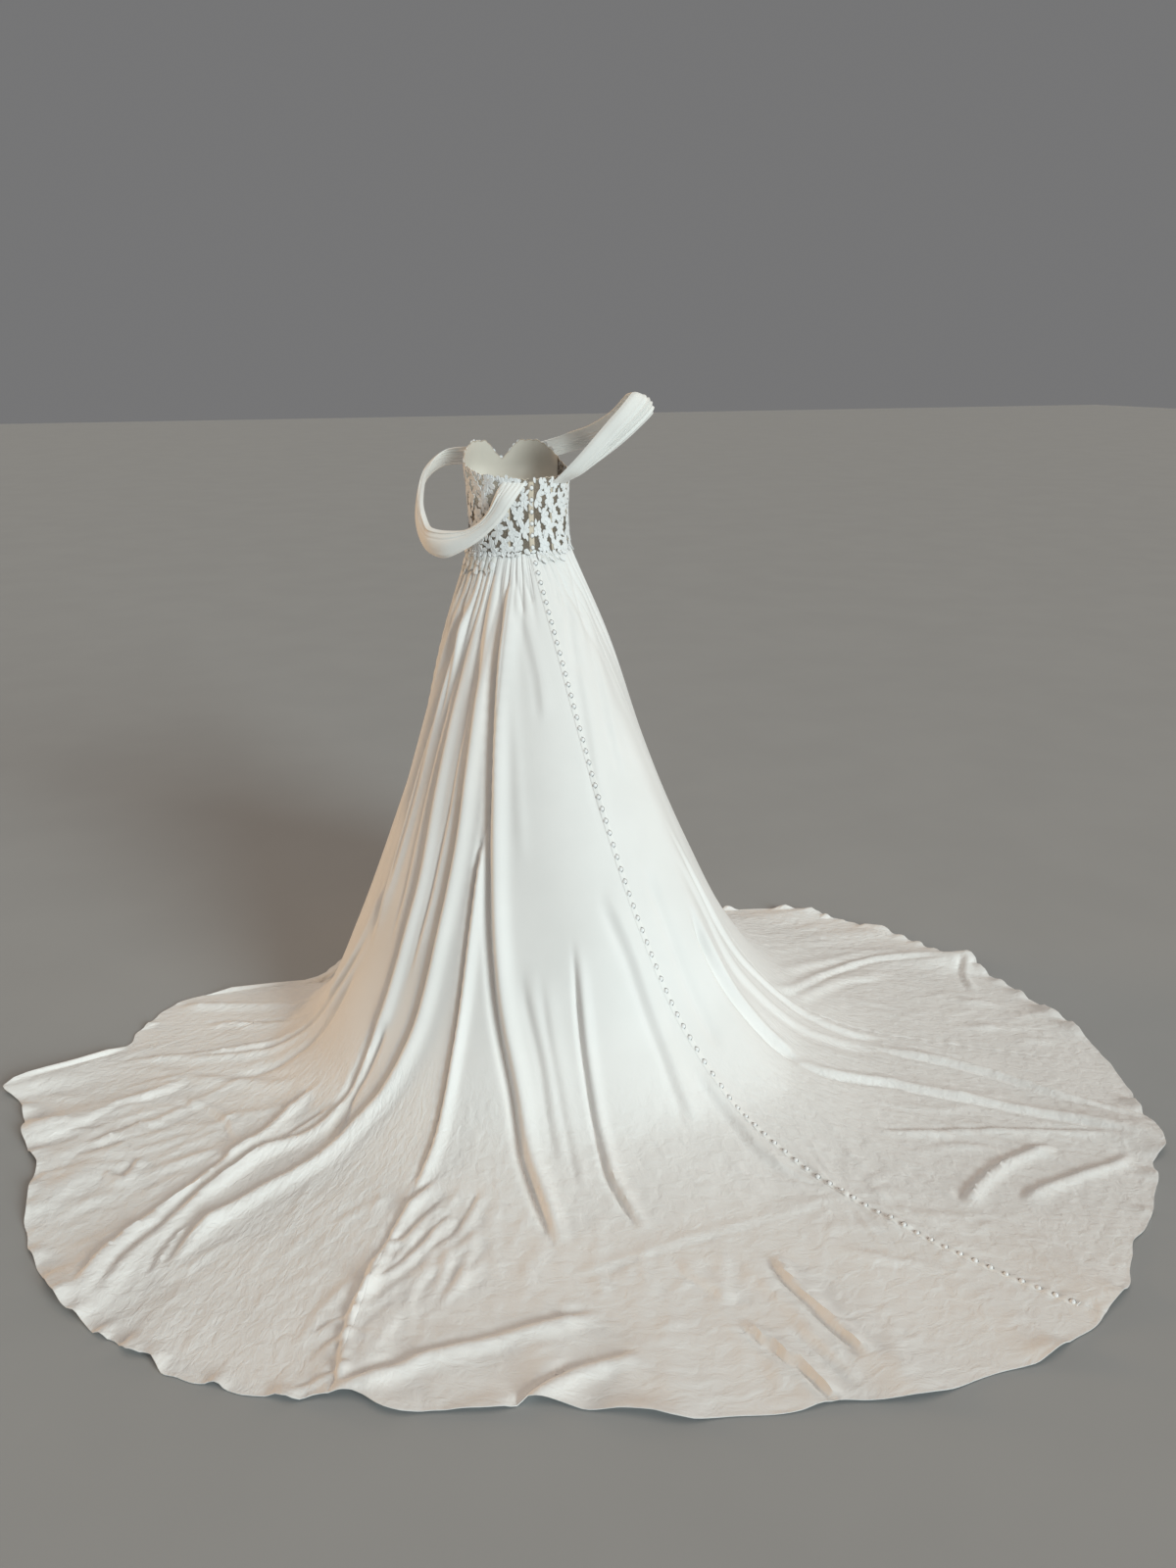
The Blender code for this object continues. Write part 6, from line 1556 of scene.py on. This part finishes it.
def edge_motifs(random):
    """Small petals along the top edge, and leaves along the lower one."""
    motifs = []
    count = int(LACE_GIRTH / EDGE_MOTIF_PITCH)
    for index in range(count):
        x = (index + random.uniform(-0.2, 0.2)) * LACE_GIRTH / count
        beside = abs(wrapped(x, LACE_GIRTH))
        if beside < PLACKET_KEEP:
            continue
        top = float(neckline(x / LACE_SCALE))
        heading = math.pi / 2 + random.normal(0, 0.75)
        length = random.uniform(*EDGE_PETAL_LENGTHS)
        lift = LAYER * (index % 3)
        motifs.append(((x, top - EDGE_PETAL_DOWN), heading, length, EDGE_WIDTH, ROUND_PETAL, lift))
        heading = random.choice([0.0, math.pi]) + random.normal(0, 0.35)
        motifs.append(((x, EDGE_LEAF_HEIGHT + random.uniform(-0.001, 0.003)), heading,
                       random.uniform(*SMALL_LEAF_LENGTHS), EDGE_WIDTH, EDGE_LEAF, lift))
    return motifs


def on_bodice(x, z, height):
    """Places of the flat lace on the bodice; motifs past the waist seam stay at its edge."""
    return bodice_point(x / LACE_SCALE, np.maximum(z, 0.0006), NET_OUT + NET_THICK + height)


def lace_grid(directions, low, tops, rows):
    """Directions and heights of a grid that runs from its top edge down to `low`."""
    rise = np.linspace(1.0, 0.0, rows)[None, :]
    heights = low + (tops[:, None] - low) * rise
    return np.broadcast_to(directions[:, None], heights.shape), heights


def add_net(name, start, end, materials):
    """The net of one bodice piece, and its outer grid."""
    left, right = start + SEAM_GAP / LACE_SCALE / 2, end - SEAM_GAP / LACE_SCALE / 2
    directions = np.linspace(left, right, max(8, round((right - left) / NET_CELL)) + 1)
    spread, heights = lace_grid(directions, BODICE_BASE, neckline(directions), NET_ROWS)
    outer = bodice_point(spread, heights, NET_OUT + NET_THICK)
    inner = bodice_point(spread, heights, NET_OUT)
    piece = add_wall(name, outer, inner, materials["net"])
    return piece, outer


def add_lining(materials):
    """The opaque lining of the cups, between the net and the wearer."""
    directions = np.linspace(CUPS_FROM, 360 - CUPS_FROM, LINING_COLUMNS)
    spread, heights = lace_grid(directions, OPEN_BELOW - LINING_BELOW,
                                neckline(directions) - LINING_DOWN, LINING_ROWS)
    outer = bodice_point(spread, heights, NET_OUT - LINING_UNDER)
    inner = bodice_point(spread, heights, LINING_IN)
    piece = add_wall("cup_lining", outer, inner, materials["lining"])
    return piece


def add_bones(materials):
    """Narrow tapes over the bones, from the waist to the top edge."""
    parts = []
    for direction in BONES:
        spread = direction + np.array([-1.0, -0.6, 0.6, 1.0])[:, None] * BONE_HALF / LACE_SCALE
        top = float(neckline(float(direction))) - BONE_SHORT
        heights = np.linspace(top, BONE_SHORT, BONE_ROWS)[None, :]
        spread, heights = np.broadcast_arrays(spread, heights)
        raised = NET_OUT + NET_THICK + np.array([0.0001, BONE_THICK, BONE_THICK, 0.0001])[:, None]
        outer = bodice_point(spread, heights, np.broadcast_to(raised, heights.shape))
        inner = bodice_point(spread, heights, NET_OUT + NET_THICK)
        faces = wall_faces(*heights.shape)
        parts.append((np.concatenate([outer.reshape(-1, 3), inner.reshape(-1, 3)]), faces))
    points, faces = joined(parts)
    piece = add_mesh("bone_tapes", points, faces, materials["tape"])
    return piece


def add_binding(materials):
    """The fine cord that binds the top edge."""
    half = BODICE_PIECES[0][1]
    directions = np.linspace(half, 360 - half, BINDING_STEPS)
    heights = neckline(directions) - BINDING_RADIUS
    line = bodice_point(directions, heights, NET_OUT + NET_THICK / 2)
    points, faces = tube(line, BINDING_RADIUS, CORD_SIDES)
    piece = add_mesh("top_binding", points, faces, materials["tape"])
    return piece


def add_knobs(name, knobs, surface, material):
    """The raised middles of the flowers: a low knob in a ring of dots."""
    parts = []
    for x, z in knobs:
        spots = [(x, z, KNOB_RADIUS)]
        for dot in range(KNOB_DOTS):
            angle = 2 * math.pi * dot / KNOB_DOTS
            spots.append((x + DOTS_REACH * KNOB_RADIUS * math.cos(angle),
                          z + DOTS_REACH * KNOB_RADIUS * math.sin(angle), DOT_SIZE * KNOB_RADIUS))
        for cx, cz, radius in spots:
            points = []
            for share, rise in KNOB_RINGS:
                for side in range(KNOB_SIDES):
                    angle = 2 * math.pi * side / KNOB_SIDES
                    points.append((cx + radius * share * math.cos(angle),
                                   cz + radius * share * math.sin(angle),
                                   KNOB_LIFT + radius * rise))
            between = ring_faces(len(KNOB_RINGS), KNOB_SIDES)
            faces = [(b, a, d, c) for a, b, c, d in between]
            faces.append(tuple(range(2 * KNOB_SIDES, 3 * KNOB_SIDES))[::-1])
            faces.append(tuple(range(KNOB_SIDES)))
            parts.append((points, faces))
    points, faces = joined(parts)
    flat = np.array(points)
    piece = add_mesh(name, surface(flat[:, 0], flat[:, 1], flat[:, 2]), faces, material)
    return piece


def make_bodice(materials):
    """Nets, petals, flower middles, lining, bones and binding of the bodice."""
    motifs, knobs = lace_motifs()
    random = np.random.default_rng(LACE_SEED + 1)
    motifs += edge_motifs(random)
    nets = {node: add_net("net_" + node, start, end, materials)
            for node, start, end in BODICE_PIECES}
    sides = {node: [] for node, _, _ in BODICE_PIECES}
    for one in motifs:
        direction = one[0][0] / LACE_SCALE
        for node, start, end in BODICE_PIECES:
            if start <= start + (direction - start) % 360.0 < end:
                sides[node].append(one)
                break
    middles = add_knobs("flower_middles", knobs, on_bodice, materials["lace"])
    trim = [middles, add_lining(materials), add_bones(materials), add_binding(materials)]
    for node, _, _ in BODICE_PIECES:
        petals = add_motifs("petals_" + node, sides[node], on_bodice, materials["lace"])
        net, grid = nets[node]
        declare(grid, node)
    print("motifs", len(motifs))


# ---------------------------------------------------------------- lace on the skirt's top
def largely_gathered(direction, share):
    """Points of the skirt's inner side with its large gathers alone."""
    base, run = plain_skirt(direction, share)
    depth = gather_depth(direction, run, GATHERS)
    return base - facing(plain_points, direction, share) * depth[..., None]


def on_skirt_top(x, z, height):
    """Places of flat lace that runs down from the waist over the large gathers."""
    direction = x / LACE_SCALE
    share = np.maximum(-z, 0.0002) / thread_length(direction)
    normal = facing(largely_gathered, direction, share)
    lift = CREPE + WAIST_LACE_LIFT + height
    return largely_gathered(direction, share) + normal * lift[..., None]


def over_waist(x, z, height):
    """Places of flat lace that starts on the bodice and runs down over the waist seam."""
    above = bodice_point(x / LACE_SCALE, np.maximum(z, 0.0), CREPE + height)
    weight = smooth_step((z + 0.004) / 0.006)[..., None]
    return above * weight + on_skirt_top(x, np.minimum(z, 0.0), height) * (1 - weight)


def make_waist_lace(materials):
    """Sprays of leaves that run down from the waist seam, on a strip of net."""
    random = np.random.default_rng(LACE_SEED + 2)
    for node, start, end, depth in WAIST_LACE:
        directions = np.linspace(start, end, round((end - start) / WAIST_NET_CELL) + 1)
        scallop = 1.0 - WAIST_LACE_SCALLOP * np.abs(np.sin(np.radians(directions) * WAIST_SCALLOPS))
        rows = np.linspace(WAIST_LACE_TOP, depth * WAIST_NET_DEPTH, WAIST_NET_ROWS)[None, :]
        rows = rows * scallop[:, None]
        spread = np.broadcast_to(directions[:, None], rows.shape)
        outer = on_skirt_top(spread * LACE_SCALE, -rows, np.full(rows.shape, 0.0003))
        inner = on_skirt_top(spread * LACE_SCALE, -rows, np.full(rows.shape, 0.0001))
        net = add_wall("net_" + node, outer, inner, materials["fine_net"])
        motifs = []
        x = start * LACE_SCALE + 0.006
        while x < end * LACE_SCALE - 0.004:
            sprig = depth * random.uniform(0.55, 0.95)
            lean = random.normal(0, 0.25)
            steps = max(2, int(sprig / SPRIG_STEP))
            for step in range(steps):
                down = sprig * (step + 0.3) / steps
                side = (-1) ** step
                root = (x + down * math.tan(lean), -down)
                heading = -math.pi / 2 + lean + side * random.uniform(0.4, 0.9)
                length = random.uniform(*SPRIG_LEAF_LENGTHS)
                if down + length * 0.8 < depth:
                    motifs.append((root, heading, length, SPRIG_LEAF_WIDTH,
                                   (0.42, 1.0, -0.4 * side), LAYER * (step % 2) + 0.0003))
            x += random.uniform(*SPRIG_PITCHES)
        petals = add_motifs("petals_" + node, motifs, on_skirt_top, materials["lace"])
        declare(outer, node)
    make_seam_leaves(random, materials)


def make_seam_leaves(random, materials):
    """Small leaves that hang over the waist seam, all round but for the centre back."""
    motifs = []
    for index in range(int(LACE_GIRTH / SEAM_MOTIF_PITCH)):
        x = (index + random.uniform(-0.25, 0.25)) * SEAM_MOTIF_PITCH
        beside = abs(wrapped(x, LACE_GIRTH))
        if beside > PLACKET_KEEP:
            heading = -math.pi / 2 + random.normal(0, 0.6)
            motifs.append(((x, SEAM_MOTIF_TOP), heading, random.uniform(*SMALL_LEAF_LENGTHS),
                           SEAM_MOTIF_WIDTH, SEAM_LEAF, LAYER * (index % 3)))
    add_motifs("petals_waist_seam", motifs, over_waist, materials["lace"])


# ---------------------------------------------------------------- the swags
def swag_end(corners, across):
    """Points along a band's sewn end, on the lace."""
    (direction_a, height_a), (direction_b, height_b) = corners
    return bodice_point(direction_a + (direction_b - direction_a) * across,
                        height_a + (height_b - height_a) * across, LACE + LAY_GAP)


def along(line, shares, wanted):
    """Points of a line given at `shares`, read at `wanted`."""
    return np.stack([np.interp(wanted, shares, line[:, axis]) for axis in range(3)], -1)


def pleats(node, across, share):
    """Depth of the lengthwise folds across a band and along it."""
    move = np.zeros((len(share), len(across)))
    for place_back, place_middle, place_front, depth, half in PLEATS[node]:
        place = curve((0.0, 0.5, 1.0), (place_back, place_middle, place_front), share)
        wave = 1.0 + PLEAT_WAVE * np.sin(PLEAT_WAVES * share + 40 * place_middle)
        off = (across[None, :] - place[:, None]) / half
        rise = np.exp(-off ** 2) - PLEAT_TROUGH * np.exp(-(off - PLEAT_OFFSET) ** 2)
        move += depth * wave[:, None] * rise
    return move


def make_swag(node, swag, materials):
    """A folded band between its two edges, with soft lengthwise folds and rolled edges."""
    across = np.linspace(0.0, 1.0, SWAG_ACROSS + 1)
    share = np.linspace(0.0, 1.0, SWAG_ALONG + 1)
    ends = [swag_end(swag[end], across) for end in ("back", "front")]
    edges = []
    for edge, corner in ((0, 0), (1, -1)):
        line = [ends[0][corner], *(station[edge] for station in swag["stations"]),
                ends[1][corner]]
        line = smooth_line(line, 8)
        edges.append(along(line, np.linspace(0.0, 1.0, len(line)), share))
    upper, lower = edges
    middle = upper[:, None] + (lower - upper)[:, None] * across[None, :, None]
    for end, near in ((0, share), (-1, 1.0 - share)):
        seated = smooth_step(1 - near / SWAG_SEATED)[:, None, None]
        middle = middle + (ends[end] - middle[end]) * seated
    for _ in range(SWAG_SMOOTHING):
        middle[1:-1] = 0.25 * middle[:-2] + 0.5 * middle[1:-1] + 0.25 * middle[2:]
    width = np.linalg.norm(lower - upper, axis=-1)
    normal = swag["outward"] * unit(np.cross(np.gradient(middle, axis=0), (lower - upper)[:, None]))
    bulge = SWAG_BULGE * width[:, None] * np.sin(math.pi * across)[None]
    free = smooth_step(share / SWAG_OPENS) * smooth_step((1 - share) / SWAG_OPENS)
    rolled = SWAG_ROLL * (np.exp(-(across / SWAG_ROLL_HALF) ** 2)
                          + np.exp(-((1 - across) / SWAG_ROLL_HALF) ** 2))
    form = (bulge + pleats(node, across, share) - rolled[None]) * free[:, None]
    sewn = SWAG_TUCK * np.sin(2 * math.pi * SWAG_TUCKS * across) ** 2
    form = form + sewn[None] * (1 - free)[:, None]
    inner = middle + normal * form[..., None]
    face = swag["outward"] * unit(np.cross(np.gradient(inner, axis=0), np.gradient(inner, axis=1)))
    outer = inner + face * CREPE
    chart = np.stack([np.broadcast_to(across * SWAG_CHART[0], form.shape),
                      np.broadcast_to((share * SWAG_CHART[1])[:, None], form.shape)], -1)
    if swag["outward"] < 0:
        inner, outer, chart = inner[:, ::-1], outer[:, ::-1], chart[:, ::-1]
    band = add_wall("band_" + node, outer, inner, materials["swag"], chart)
    declare(outer, node)


# ---------------------------------------------------------------- the whole dress
def main():
    set_up_stage()
    materials = make_materials()
    make_skirt(materials)
    make_skirt_placket(materials)
    make_bodice(materials)
    make_bodice_placket(materials)
    make_waist_lace(materials)
    for node, swag in SWAGS.items():
        make_swag(node, swag, materials)


main()
